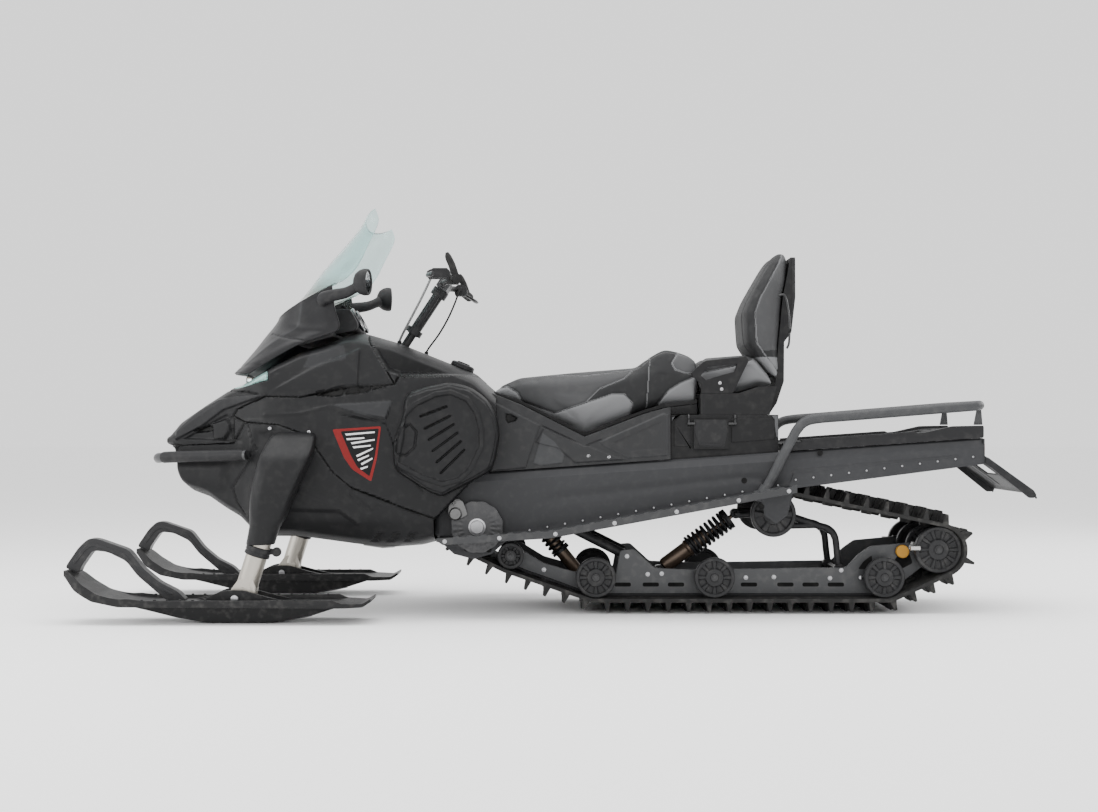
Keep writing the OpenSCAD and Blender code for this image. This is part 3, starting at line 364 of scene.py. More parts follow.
# The rear and front plates close the channel; the drive bearing cups and plugged service holes sit in its walls.
rear_plate = slab(rounded([(tail_x - 1, 616), (tail_x - 1, 531), (tail_x + 4, 531), (tail_x + 4, 616)], 1.5), -258, 258)
front_plate = slab([(440, 479), (440, 284), (434, 282), (434, 480)], -257, 257)
make("tunnel_end_plates", *together(rear_plate, front_plate), "chassis", "coated_metal", powder_coat, soften=1)
dark_plug = finish("dark_plug_rubber", (0.006, 0.006, 0.006), 0.7, depth=0.04)
plug = turned([(0, 0), (0, 9), (1.2, 10), (3, 10), (3, 7), (1.6, 6), (1.6, 0)], (0, 260.5, 0), 20)
plugs = copies(plug, [(330, 0, 232), (302, 0, 234), (252, 0, 228), (-700, 0, 378), (-640, 0, 470), (-905, 0, 566)])
make("tunnel_plugs", *both_sides(plugs), "chassis", "black_plastic", dark_plug)
rivet = turned([(0, 4.2), (1.2, 4.0), (2.4, 2.8), (2.9, 0)], (0, 261.6, 0), 8)
row_x = np.arange(-1440, 130, 62.0)
rivets = copies(rivet, np.stack([row_x, 0 * row_x, np.where(
    row_x > -798, 282 + (187 - row_x) * 0.181, 470 + (-798 - row_x) * 0.129)], -1))
plated = finish("zinc_plated_steel", (0.36, 0.36, 0.37), 0.34, metal=1.0, grain=300, depth=0.02, dust=0.3)
make("tunnel_rivets", *both_sides(rivets), "chassis", "steel", plated)

# ---- Running boards ----
# A punched sheet foot board on each side, riveted under the tunnel, with an extruded rail along its outer
# edge. The rail's top is cut into low teeth for grip.


def board_height(x):
    """Height of the foot board: nearly level under the driver's feet, then a climb of 0.184 to the rear."""
    x = np.asarray(x, float)
    return np.where(x > 37, 270 + (424 - x) * 0.062, 294 + (37 - x) * 0.184)


def punched_board():
    """A flat net whose grid lines lie on the edges of the punched windows, and whose window faces are left out.
    Rows of 34 x 48 windows every 55, with a raised lip where the net meets the tunnel."""
    start = np.arange(-740, 130, 55.0)
    xs = np.unique(np.concatenate([[-798, 424, 37], start, start + 34, np.arange(185, 424, 40)]))
    ys = np.array([262.6, 268, 290, 338, 350, 398, 421])
    x, y = np.meshgrid(xs, ys, indexing="ij")
    z = board_height(x) + 7 * np.clip((266 - y) / 4, 0, 1)
    faces = grid_quads(len(xs), len(ys))
    row, col = np.divmod(np.arange(len(faces)), len(ys) - 1)
    open_x = np.isin(xs[row], start)
    return np.stack([x, y, z], -1), faces[~(open_x & np.isin(col, [2, 4]))]


points, faces = punched_board()
make("foot_board_left", points, faces, "chassis", "coated_metal", powder_coat, ["running_boards"],
     inside=(0, 340, -4000), wall=3)
make("foot_board_right", points * [1, -1, 1], faces, "chassis", "coated_metal", powder_coat,
     inside=(0, -340, -4000), wall=3)


def toothed_rail():
    """The rail's four-sided section along x, 12 wide, its top edge stepped up 4 over 22 in every 46."""
    x = np.concatenate([[424, 418, 402], np.arange(380, -798, -5.75), [-798]])[:, None]
    tooth = np.clip((11 - abs((x + 1000) % 46 - 23)) / 3, 0, 1) * 4 * (x < 385)
    z = board_height(x)
    section_y = np.array([420, 420, 423, 428, 431, 431, 428, 421])[None]
    top = z + 10 + tooth + 0 * section_y
    low = z - 14 + np.clip((x - 402) / 22, 0, 1) * 16
    mix = np.array([0.05, 0.94, 1, 1, 0.94, 0.05, 0, 0])[None]
    points = np.stack([x + 0 * section_y, section_y + 0 * x, low + (top - low) * mix], -1)
    return points, tube_faces(*points.shape[:2])


rail_paint = finish("rail_grey_coat", (0.036, 0.0365, 0.038), 0.42, grain=420, depth=0.05, dust=0.25)
make("board_rails", *both_sides(toothed_rail()), "chassis", "coated_metal", rail_paint, crease=40)
bolt = turned([(0, 7.5), (1.6, 7.5), (1.7, 5.4), (5.2, 5.2), (6, 4.2), (6, 0)], (0, 430.6, 0), 12)
rail_bolts = copies(bolt, [(x, 0, float(board_height(x)) - 2) for x in (395, 210, 20, -180, -390, -600, -770)])
make("rail_bolts", *both_sides(rail_bolts), "chassis", "steel", plated)

# ---- Cargo deck and rack ----
# A moulded black deck with raised side rails and slotted floor lies over the tunnel's tail. A bent steel
# tube rack, coated grey, loops round it from the running boards.
moulded = finish("moulded_black_plastic", (0.016, 0.016, 0.017), 0.50, grain=1100, depth=0.05, dust=0.15)
deck_rail = rounded([(-799, 604), (-870, 609), (-1277, 638), (-1374, 660), (-1480, 662), (-1480, 619.5),
                     (-1300, 607.5), (-800, 573)], 6)
rails = together(slab(deck_rail, 222.5, 253), slab(rounded([(-840, 613), (-1240, 641), (-1250, 634), (-845, 604)], 4),
                                                  226, 254.5))


def deck_floor():
    """The floor's net, humped by 4 between slots, with the slot faces left out."""
    slot = np.arange(-1400, -860, 45.0)
    xs = np.unique(np.concatenate([[-812, -870, -1277, -1374, -1480], slot, slot + 20, slot - 6]))
    ys = np.array([-223, -180, -176, -20, -12, 12, 20, 176, 180, 223])
    x, y = np.meshgrid(xs, ys, indexing="ij")
    z = along(x, [(-1481, 655), (-1374, 649), (-1277, 631), (-870, 605), (-812, 599)])
    z = z - 3.5 * ((abs(y) > 19) & (abs(y) < 177))
    faces = grid_quads(len(xs), len(ys))
    row, col = np.divmod(np.arange(len(faces)), len(ys) - 1)
    return np.stack([x, y, z], -1), faces[~(np.isin(xs[row], slot) & np.isin(col, [2, 6]))]


make("deck_side_rails", *both_sides(rails), "chassis", "black_plastic", moulded, ["cargo_deck"], soften=2)
make("deck_floor", *deck_floor(), "chassis", "black_plastic", moulded, inside=(-1100, 0, -9000), wall=8, soften=1)
rib_top = [(-1481, 646), (-1277, 623), (-812, 591)]
deck_ribs = together(*[slab([(x, tunnel_roof(x) + .5), (x + 14, tunnel_roof(x + 14) + .5), (x + 14, along(x, rib_top)),
                             (x, along(x, rib_top))], -221, 221) for x in (-1440.0, -1110.0, -830.0)])
make("deck_ribs", *deck_ribs, "chassis", "black_plastic", moulded, soften=1.5)
hoop = bend_through([(-708, 281, 432), (-735, 281, 482), (-772, 281, 556), (-804, 281, 616), (-822, 281, 648),
                     (-848, 281, 674), (-892, 281, 686), (-1000, 281, 695), (-1150, 281, 707), (-1300, 281, 719),
                     (-1424, 280, 729), (-1450, 272, 731), (-1464, 252, 732.4), (-1468, 225, 733), (-1468, 150, 733),
                     (-1468, 50, 733), (-1468, 0, 733)], 6)
rack_paint = finish("rack_grey_coat", (0.046, 0.047, 0.049), 0.44, grain=420, depth=0.05, dust=0.2)
make("rack_hoop", *both_sides(sweep(hoop, ring_shape(17, 20))), "chassis", "coated_metal", rack_paint, ["cargo_rack"])
post = slab(rounded([(-1450, 664.4), (-1480, 664.4), (-1475, 722), (-1461, 722)], 3), 228, 238)
front_z, rear_z = (float(board_height(x)) for x in (-672, -764))
foot = slab(rounded([(-672, front_z + 0.6), (-764, rear_z + 0.6), (-764, rear_z + 9), (-672, front_z + 9)], 3),
            263, 297)
collar = sweep([(-703, 281, 424), (-716, 281, 448)], ring_shape(22, 20))
make("rack_feet", *both_sides(together(post, foot, collar)), "chassis", "coated_metal", rack_paint, soften=1.5)

# ---- Tail: lamps, hitch and snow flap ----
# Two red lamps in dark housings and a steel drawbar hitch sit on the rear plate. The moulded flap below
# them throws the snow down; it is stiffened by raised ribs and bolted along its upper edge.
lamp_glass = finish("red_lamp_glass", (0.30, 0.012, 0.016), 0.12, grain=60, depth=0.15, spread=0.2, dust=0.05, coat=0.8)
lens_profile = rounded([(-1500, 566), (-1492, 561.5), (-1489, 561.5), (-1489, 602.5), (-1492, 602.5), (-1500, 598)], 3)
make("tail_lamp_glass", *both_sides(slab(lens_profile, 113, 197)), "chassis", "lamp_red", lamp_glass, ["tail_lamps"],
     soften=2)
bezel = slab(rounded([(-1489, 560.5), (-1481.5, 560.5), (-1481.5, 603.5), (-1489, 603.5)], 2), 110.4, 199.6)
make("tail_lamp_bezel", *both_sides(bezel), "chassis", "black_plastic", moulded, soften=1.5)


def flap_sheet():
    """Net over the flap's length and width: it drops along a straight slope that steepens at the lip, its sides
    fold down 9, three ribs stand 4 proud, and a notch clears the hitch at the upper edge."""
    s, y = np.meshgrid(np.linspace(0, 1, 40), np.linspace(-263, 263, 61), indexing="ij")
    x = np.interp(s, [0, .1, .88, 1], [-1482, -1500, -1652, -1664])
    z = np.interp(s, [0, .1, .88, 1], [556, 550, 440, 424])
    fold = np.clip((abs(y) - 243) / 20, 0, 1) * 16 * np.clip(s / 0.15, 0, 1)
    rib = np.clip((9 - abs(abs(y) - 150)) / 4, 0, 1) + np.clip((9 - abs(abs(y) - 95)) / 4, 0, 1)
    lift = 4 * rib * np.clip((s - .12) / .08, 0, 1) * np.clip((.86 - s) / .06, 0, 1)
    points = np.stack([x - lift * 0.5, y, z - fold + lift], -1)
    faces = grid_quads(*s.shape)
    middle = points.reshape(-1, 3)[faces].mean(1)
    return points, faces[~((abs(middle[:, 1]) < 70) & (middle[:, 0] > -1584))]


make("snow_flap_sheet", *flap_sheet(), "chassis", "black_plastic", moulded, ["snow_flap"], inside=(-1400, 0, 100),
     wall=6, soften=1)
flap_sides = slab(rounded([(-1483, 552), (-1500, 545), (-1652, 436), (-1662, 420), (-1654, 409), (-1636, 409),
                           (-1504, 515), (-1483, 526)], 4), 254, 262)
make("snow_flap_sides", *both_sides(flap_sides), "chassis", "black_plastic", moulded, soften=1.5)

# ---- Track ----
# An endless rubber belt with moulded snow lugs, drive windows and steel clips. It is laced round the drive
# sprockets, the carrier wheels under the tunnel, the rear wheels and the bogies, and drawn here as one loop.
rear_axle, carrier_axle, drive_centre, tip_centre = (-1329, 224.6), (-751, 348), (292, 309), (177, 203)
bogie_x, bogie_z = (-1140, -541, -123), 126.4
loop_wheels = np.array([(*rear_axle, 82.4), (-1140, bogie_z, 71.4), (-123, bogie_z, 71.4), (*tip_centre, 47.4),
                        (*drive_centre, 92.4), (*carrier_axle, 80.4)])


def belt_line(count):
    """The belt's inner line: for each pair of wheels the outer tangent turns by acos((r1 - r2) / distance) from
    the line of centres; arcs join the tangents. Returns `count` even steps as (x, z, normal angle)."""
    step = np.roll(loop_wheels, -1, 0) - loop_wheels
    leave = np.arctan2(step[:, 1], step[:, 0]) - np.arccos(-step[:, 2] / np.hypot(step[:, 0], step[:, 1]))
    arrive = np.roll(leave, 1)
    sweep_by = (leave - arrive) % (2 * np.pi)
    turn = arrive[:, None] + sweep_by[:, None] * np.linspace(0, 1, 24)[None]
    x = (loop_wheels[:, :1] + loop_wheels[:, 2:] * np.cos(turn)).ravel()
    z = (loop_wheels[:, 1:2] + loop_wheels[:, 2:] * np.sin(turn)).ravel()
    x, z, angle = np.append(x, x[0]), np.append(z, z[0]), np.append(turn.ravel(), turn[0, 0] + 2 * np.pi)
    run = np.append(0, np.cumsum(np.hypot(np.diff(x), np.diff(z))))
    angle = np.unwrap(angle)
    at = np.arange(count) * run[-1] / count
    return np.interp(at, run, x), np.interp(at, run, z), np.interp(at, run, angle)


lug_count, pitch_steps = 54, 8
belt_x, belt_z, belt_turn = belt_line(lug_count * pitch_steps)


def belt_net():
    """Closed section, 500 wide, carried round the belt line: inner face at 0, outer face at 13, with drive
    windows sunk 9 deep in two rows at every pitch and a raised clip bar between them."""
    y = np.array([-250, -212, -205, -116, -110, -84, -78, -20, 20, 78, 84, 110, 116, 205, 212, 250.0])
    phase = np.arange(lug_count * pitch_steps) % pitch_steps
    window = (np.isin(phase, [3, 4, 5])[:, None] & np.isin(abs(y), [84, 110])[None]).astype(float)
    clip = (np.isin(phase, [0, 1])[:, None] & np.isin(abs(y), [84, 110])[None]).astype(float)
    out_face = 13 - 8 * window + 1.5 * clip
    in_face = 0.3 + 4 * window + 0 * clip
    offset = np.hstack([out_face, in_face[:, ::-1]])
    across = np.hstack([y, y[::-1]])[None] + 0 * offset
    x = belt_x[:, None] + offset * np.cos(belt_turn)[:, None]
    z = belt_z[:, None] + offset * np.sin(belt_turn)[:, None]
    return np.stack([x, across, z], -1)


track_rubber = finish("track_rubber", (0.017, 0.0168, 0.0165), 0.66, grain=700, depth=0.12, dust=0.5)
net = belt_net()
make("track_belt", net, grid_quads(*net.shape[:2], round_rows=True, round_cols=True), "chassis", "track_rubber",
     track_rubber, ["track"], crease=30)


def on_belt(part, start):
    """The part set down once for each pitch, `start` points along the belt's line: its x stands out square to
    the belt and its z lies along the belt."""
    points, faces = part
    at = np.arange(lug_count) * pitch_steps + start
    cos, sin = np.cos(belt_turn[at])[:, None], np.sin(belt_turn[at])[:, None]
    x = belt_x[at][:, None] + points[None, :, 0] * cos - points[None, :, 2] * sin
    z = belt_z[at][:, None] + points[None, :, 0] * sin + points[None, :, 2] * cos
    spots = np.stack([x, points[None, :, 1] + 0 * x, z], -1).reshape(-1, 3)
    return spots, [[v + len(points) * k for v in f] for k in range(lug_count) for f in faces]


def lug_row():
    """One row of lugs for each pitch: five paddles across, each 42 high and tapering from 20 to 7 thick, their
    tips stepped, set square to the belt at the start of each pitch."""
    paddles = []
    for y0, y1, top in ((-249, -172, 34), (-160, -70, 42), (-58, 58, 40), (70, 160, 42), (172, 249, 34)):
        p = np.array([(12.5, -11), (12.5 + top * .86, -5), (12.5 + top, -3.5), (12.5 + top, 3.5),
                      (12.5 + top * .86, 5), (12.5, 11)])
        lean = np.array([0, 3, 5, 5, 3, 0.0])
        rows = [np.stack([p[:, 0], np.full(6, y), p[:, 1]], -1) for y in (y0, y1)]
        rows[0][:, 1] += lean
        rows[1][:, 1] -= lean
        paddles.append((np.stack(rows), tube_faces(2, 6)))
    return on_belt(together(*paddles), 0)


make("track_lugs", *lug_row(), "chassis", "track_rubber", track_rubber)


def guide_row():
    """Drive lugs inside the belt, two rows of low blocks at every pitch that the sprockets push on."""
    block = np.array([(-13, -16), (-13, 16), (-1, 20), (-1, -20)])
    rows = [np.stack([block[:, 0], np.full(4, y), block[:, 1]], -1) for y in (86, 108)]
    left = (np.stack(rows), tube_faces(2, 4))
    return on_belt(both_sides(left), 4)


make("track_drive_lugs", *guide_row(), "chassis", "track_rubber", track_rubber)

# ---- Track wheels ----
# Moulded black wheels with a rubber tyre, a dished web pierced by eight pockets and a bearing cap; they
# turn on cross shafts bolted through the slide rails and the carrier bracket.


def wheel_body(place, radius, y_in, width, pockets=8):
    """Rim, web and hub as one turned section; between the rim and the hub the web's face sinks 6 deeper in
    each of the pockets, whose borders are ribs 0.16 of a turn wide."""
    r = radius
    face, back = y_in + width, y_in
    section = np.array([(back + 9, r * .34), (back + 9, r - 15), (back + 1, r - 13), (back, r - 3), (back + 3, r),
                        (face - 3, r), (face, r - 3), (face - 1, r - 12), (face - 5, r - 14), (face - 5, r - 15.5),
                        (face - 4.9, r * .48), (face - 1.5, r * .42), (face - 1, r * .22), (face - 3, r * .20)])
    turns = 8 * pockets
    turn = np.arange(turns) * 2 * np.pi / turns
    along_y = np.repeat(section[:, :1], turns, 1)
    share = (np.arange(turns) % 8) / 8
    pocket = np.clip((0.36 - abs(share - 0.5)) / 0.1, 0, 1)
    along_y[9] -= 6.5 * pocket
    along_y[10] -= 6.5 * pocket
    ring = np.stack([section[:, 1:] * np.cos(turn), along_y, section[:, 1:] * np.sin(turn)], -1)
    return ring + np.array([place[0], 0, place[1]]), tube_faces(len(section), turns)


wheel_black = finish("wheel_black_nylon", (0.021, 0.021, 0.022), 0.42, grain=800, depth=0.04, dust=0.3)
wheels = [wheel_body((x, bogie_z), 71, 200, 26) for x in bogie_x]
wheels += [wheel_body(rear_axle, 82, 200, 26, 10), wheel_body(rear_axle, 82, 60, 26, 10),
           wheel_body(carrier_axle, 80, 180, 26, 6), wheel_body(tip_centre, 47, 200, 26, 6)]
make("track_wheels", *both_sides(together(*wheels)), "chassis", "black_plastic", wheel_black,
     ["bogie_wheels", "rear_wheels", "carrier_wheels"], crease=28)
cap_section = [(-1, 13), (1.5, 13), (2, 8.5), (8, 8), (8.6, 6.5), (8.6, 0)]
caps = [turned(np.array(cap_section) + (y, 0), (x, 0, z), 16)
        for x, z, y in (*((x, bogie_z, 225) for x in bogie_x), (*rear_axle, 225), (*tip_centre, 225),
                        (*carrier_axle, 205))]
shafts = [turned([(-225, 0), (-225, 10), (225, 10), (225, 0)], (x, 0, z), 16)
          for x, z in (*((x, bogie_z) for x in bogie_x), rear_axle, tip_centre)]
shafts.append(turned([(-257, 0), (-257, 10), (257, 10), (257, 0)], (carrier_axle[0], 0, carrier_axle[1]), 16))
make("wheel_shafts", *together(*shafts), "chassis", "steel", plated)
cap_black = finish("bearing_cap_black", (0.03, 0.03, 0.031), 0.3, grain=400, metal=0.6)
make("wheel_caps", *both_sides(together(*caps)), "chassis", "black_plastic", cap_black)

# ---- Slide rails ----
# Two pressed aluminium rails, coated dark, run the length of the skid. Each has lightening windows, a low
# nylon wear strip that rides in the track clips, and an adjuster block at the rear axle.
rail_outline = rounded([(213, 212), (195, 167.6), (62, 121.6), (-60, 77.6), (-122, 59), (-1110, 59), (-1180, 75),
                        (-1345, 201), (-1364, 234), (-1345, 254), (-1103, 232), (-1060, 202), (-1018, 156), (-492, 148),
                        (-335, 154), (-262, 221), (-212, 217), (-196, 130), (-45, 142), (62, 172), (150, 226),
                        (200, 231)], 8, 3)
rail_metal = finish("rail_dark_anodised", (0.040, 0.041, 0.043), 0.40, metal=0.35, grain=300, depth=0.03, dust=0.3)
make("slide_rail_plates", *both_sides(slab(rail_outline, 141, 151)), "chassis", "coated_metal", rail_metal,
     ["slide_rails"], soften=1.5)
# The lightening windows are not cut through the plates: near-black plates lie in them as painted shade.
window_shade_fill = finish("rail_window_painted_shade", (0.004, 0.004, 0.004), 0.9, depth=0.02)
shade_slots = [slab(rounded([(x, 88), (x + 58, 88), (x + 58, 102), (x, 102)], 6), 150.2, 151.6)
         for x in (-1010, -920, -830, -700, -610, -440, -350, -250, 10)]
shade_slots += [slab(rounded([(-1255, 172), (-1180, 132), (-1168, 150), (-1200, 196), (-1240, 214)], 8), 150.2, 151.6),
          slab(rounded([(-1110, 200), (-1080, 178), (-1060, 150), (-1110, 150)], 8), 150.2, 151.6)]
make("rail_window_shade_plates", *both_sides(together(*shade_slots)), "chassis", "coated_metal", window_shade_fill)
strip_line = bend_through([(197, 146, 171), (128, 146, 142), (62, 146, 119), (0, 146, 96.5), (-60, 146, 74.5),
                           (-100, 146, 62), (-130, 146, 57.5), (-300, 146, 57), (-700, 146, 57), (-1050, 146, 57),
                           (-1110, 146, 57.5), (-1150, 146, 62)], 6)
strip = sweep(strip_line, [(-9, -1.2), (9, -1.2), (9, 5), (6, 7), (-6, 7), (-9, 5)])
strip_nylon = finish("wear_strip_nylon", (0.013, 0.013, 0.014), 0.38, depth=0.01)
make("wear_strips", *both_sides(strip), "chassis", "black_plastic", strip_nylon)
adjuster = together(slab(rounded([(-1312, 246), (-1240, 238), (-1236, 222), (-1308, 204)], 5), 152, 166),
                    turned([(0, 0), (0, 9), (34, 9), (34, 0)], (-1262, 231, 231), 12, "x"),
                    turned([(196, 17), (199, 21), (204, 21), (207, 17), (207, 0), (196, 0)], (-1262, -50, 231), 6))
make("axle_adjusters", *both_sides(adjuster), "chassis", "alloy",
     finish("cast_light_alloy", (0.42, 0.42, 0.41), 0.4, metal=1.0, grain=260, depth=0.06, dust=0.3), soften=1)
ring = turned([(152, 12), (152, 22), (156, 24), (164, 24), (168, 22), (168, 12)], (-1216, 0, 214), 20)
make("adjuster_rings", *both_sides(ring), "chassis", "alloy",
     finish("ochre_adjuster", (0.42, 0.21, 0.03), 0.5, depth=0.03))
rail_bolt = turned([(0, 8), (2, 8), (2, 6), (6.5, 6), (7, 5), (7, 0)], (0, 150.8, 0), 12)
rail_bolt_spots = [*((x, 0, bogie_z) for x in bogie_x), (-1000, 0, 146), (-236, 0, 196),
                   (-360, 0, 134), (-76, 0, 112), (-1290, 0, 190), (-760, 0, 122), (-660, 0, 120), (-960, 0, 118),
                   (-310, 0, 132), (60, 0, 148), (150, 0, 196), (-1070, 0, 120)]
make("rail_bolts_small", *both_sides(copies(rail_bolt, rail_bolt_spots)), "chassis", "steel", plated)

# ---- Suspension arms and shocks ----
# Black tube arms pivot under the tunnel and on the rails. Two gas shocks with coil springs lie between
# them: a long one with a bronze body in the middle and a short one at the front arm.
arm_black = finish("arm_black_coat", (0.014, 0.014, 0.015), 0.36, grain=500, depth=0.03, dust=0.25)


def keep_shape(look, *nodes):
    """CAD nodes that keep their own shape: only their material changes."""
    for node in nodes:
        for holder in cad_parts[node].material_slots:
            holder.material = look


keep_shape(arm_black, "suspension_arms", "tow_hitch", "steering_column")
arm_line = bend_through([(-771, 110, 352), (-800, 110, 344), (-880, 110, 318), (-925, 110, 303), (-962, 110, 291),
                         (-985, 110, 262), (-993, 110, 200), (-1000, 110, 146)], 6)
arm_tube = sweep(arm_line, ring_shape(12.4, 16))
arm_eye = turned([(94, 9), (94, 19), (97, 21), (123, 21), (126, 19), (126, 9)], (-1000, 0, 146), 20)
make("rear_arm_tubes", *both_sides(together(arm_tube, arm_eye)), "chassis", "black_metal", arm_black)


def coil(start, end, radius, wire, turns):
    """A round wire on a helix: the point at share s of the length turns `turns` times round the line from start
    to end, with the last half turn at each end closed up flat."""
    start, end = np.asarray(start, float), np.asarray(end, float)
    axis = end - start
    unit = axis / np.linalg.norm(axis)
    side = np.cross(unit, [0, 1.0, 0])
    s = np.linspace(0, 1, int(turns * 20) + 1)
    pitch = np.interp(s, [0, 0.5 / turns, 1 - 0.5 / turns, 1], [0, 0.02, 0.98, 1])
    turn = s[:, None] * turns * 2 * np.pi
    middle = start + pitch[:, None] * axis
    out = np.cos(turn) * side + np.sin(turn) * [0, 1.0, 0]
    around = (np.arange(8) * np.pi / 4)[None, :, None]
    points = middle[:, None] + out[:, None] * (radius + wire * np.cos(around)) + unit * wire * np.sin(around)
    return points, tube_faces(len(s), 8)


def spindle(start, end, profile, sides=24):
    """A turned part on any line in the middle plane: (share of the length, radius) pairs round that line."""
    start, end = np.asarray(start, float), np.asarray(end, float)
    p = np.asarray(profile, float)
    axis = end - start
    side = np.cross(axis / np.linalg.norm(axis), [0, 1.0, 0])
    turn = (np.arange(sides) * 2 * np.pi / sides)[None, :, None]
    points = (start + p[:, :1] * axis)[:, None] + p[:, None, 1:] * (np.cos(turn) * side + np.sin(turn) * [0, 1.0, 0])
    return points, tube_faces(len(p), sides)


rear_low, rear_top = (-360, 0, 134), (-640, 0, 340)
front_low, front_top = (-76, 0, 112), (118, 0, 352)
bronze = finish("shock_bronze_anodised", (0.10, 0.072, 0.052), 0.34, metal=0.6, grain=300, depth=0.02)
bodies = [spindle(rear_low, rear_top, [(.05, 14), (.07, 27), (.1, 28.5), (.36, 28.5), (.38, 33), (.40, 33), (.41, 28),
                                       (.6, 28), (.62, 22), (.62, 8), (.99, 8)]),
          spindle(front_low, front_top, [(.06, 12), (.08, 23), (.1, 24), (.6, 24), (.62, 18), (.62, 7), (.99, 7)])]
make("shock_bodies", *together(*bodies), "chassis", "steel", bronze, ["shock_absorbers"], crease=30)
spring_black = finish("spring_black_coat", (0.012, 0.012, 0.013), 0.28, grain=200, depth=0.01, dust=0.1)


def share(low, top, s):
    """The point at share s of the way from low to top."""
    return np.asarray(low, float) + s * (np.asarray(top, float) - low)


seats = [spindle(rear_low, rear_top, [(.405, 20), (.405, 41), (.43, 41), (.44, 30), (.44, 20)]),
         spindle(rear_low, rear_top, [(.885, 10), (.885, 40), (.92, 41), (.92, 10)]),
         spindle(front_low, front_top, [(.37, 18), (.37, 35), (.4, 35), (.4, 18)]),
         spindle(front_low, front_top, [(.87, 9), (.87, 34), (.9, 35), (.9, 9)])]
springs = [coil(share(rear_low, rear_top, .45), share(rear_low, rear_top, .875), 36, 6, 8.5),
           coil(share(front_low, front_top, .41), share(front_low, front_top, .86), 30, 5, 8)]
make("shock_springs", *together(*springs, *seats), "chassis", "steel", spring_black)
eyes = [turned([(-27, 9), (-27, 16), (-24, 18), (24, 18), (27, 16), (27, 9)], (p[0], 0, p[2]), 20)
        for p in (rear_low, rear_top, front_low, front_top)]
make("shock_eyes", *together(*eyes), "chassis", "steel", arm_black)

# ---- Drive axle and brake ----
# The track's drive shaft carries four moulded sprockets between the tunnel walls and, outside the left
# wall, a ventilated steel brake disc held in a cast alloy caliper with a round piston housing.


def cog(y):
    """A sprocket disc 28 wide: its rim radius swings by 7 in nine smooth teeth."""
    turn = np.arange(72) * 2 * np.pi / 72
    rim = 85 + 6.5 * np.cos(9 * turn)
    section = [(y - 14, 20 + 0 * rim), (y - 14, rim * .3 + 12), (y - 8, rim - 22), (y - 13, rim - 14), (y - 13, rim),
               (y + 13, rim), (y + 13, rim - 14), (y + 8, rim - 22), (y + 14, rim * .3 + 12), (y + 14, 20 + 0 * rim)]
    ring = np.stack([np.stack([r * np.cos(turn) + drive_centre[0], np.full(72, across), r * np.sin(turn)
                               + drive_centre[1]], -1) for across, r in section])
    return ring, tube_faces(len(section), 72)


cogs = [cog(y) for y in (-150, -50, 50, 150)]
make("drive_sprockets", *together(*cogs), "chassis", "black_plastic", wheel_black, ["drive_axle"])
shaft = turned([(-273, 0), (-273, 16), (282, 16), (282, 30), (291, 30), (292, 24), (296, 22), (296, 0)],
               (drive_centre[0], 0, drive_centre[1]), 24)
make("drive_shaft", *shaft, "chassis", "steel", plated)


def brake_disc():
    """Disc 6 thick whose two faces are pierced in look by three rings of sunk holes; its rim is waved by 2."""
    turn = np.arange(96) * 2 * np.pi / 96
    r = np.array([24, 34, 44, 52, 58, 64, 70, 76, 82, 91.0])[:, None] + 0 * turn[None]
    r[-1] -= 1.5 * (1 + np.cos(12 * turn))
    hole = (np.cos(24 * turn)[None] > .2) * np.isin(np.arange(10), [4, 7])[:, None]
    y_out = 290 - 2.4 * hole - 1.2 * (np.arange(10) < 3)[:, None]
    r, y = np.concatenate([r, r[::-1]]), np.concatenate([y_out, 284 + 0 * r])
    spots = np.stack([drive_centre[0] + r * np.cos(turn), y, drive_centre[1] + r * np.sin(turn)], -1)
    return spots, grid_quads(20, 96, round_rows=True, round_cols=True)


disc_steel = finish("brake_disc_steel", (0.050, 0.050, 0.052), 0.38, metal=0.6, grain=160, depth=0.04, dust=0.3)
make("brake_disc", *brake_disc(), "chassis", "steel", disc_steel)
cast = finish("cast_caliper_alloy", (0.13, 0.13, 0.13), 0.46, metal=1.0, grain=240, depth=0.1, dust=0.3)
jaw = slab(rounded([(324, 352), (332, 378), (342, 402), (380, 406), (391, 380), (391, 354), (363, 332)], 7), 291.5, 305)
bridge = slab(rounded([(342, 380), (344, 403), (379, 406), (387, 382)], 6), 262.5, 282)
yoke = slab(rounded([(348, 396), (352, 407.4), (378, 407.6), (386, 398), (386, 392), (350, 392)], 3), 272, 300)
piston = turned([(304, 20), (304, 23), (308, 23), (310, 20), (315.6, 19), (315.9, 14), (315.9, 0)], (366, 0, 356), 24)
banjo = turned([(0, 0), (0, 7), (9, 7), (9, 4.5), (12, 4.5), (12, 0)], (372, 302, 394), 12)
make("brake_caliper_body", *together(jaw, bridge, yoke, piston, banjo), "chassis", "alloy", cast, ["brake_caliper"],
     soften=1.2)

# ---- Body shell ----
# Seven moulded panels in satin charcoal plastic clip together over the engine: belly pan, two side panels,
# nose cover, hood, console and the clear headlamp cover. They share one outer form, cut along common seams.
# Its tone zones: tone 0.3 to 0.6 gives the near black of painted shade in recesses and of the dark seam joints; tone
# -0.2 to -0.9 gives the paler grey of painted highlights on facets and the brow strip, and of the smoked intake panel.
body_satin = finish("body_satin_charcoal", (0.0085, 0.0086, 0.0092), 0.42, grain=1300, depth=0.03, spread=0.08,
                    dust=0.08, zones=[(0.3, 0.6, (0.004, 0.004, 0.004)), (-0.2, -0.9, (0.022, 0.0225, 0.024))])
body_rear_x, body_nose_x = 209, 1410
body_roof = ((1410, 623), (1368, 678), (1267, 745), (1176, 800), (1100, 832), (985, 900), (905, 941), (818, 966),
             (771, 990), (720, 1000), (593, 964), (515, 933), (415, 893), (307, 850), (250, 798), (209, 760))
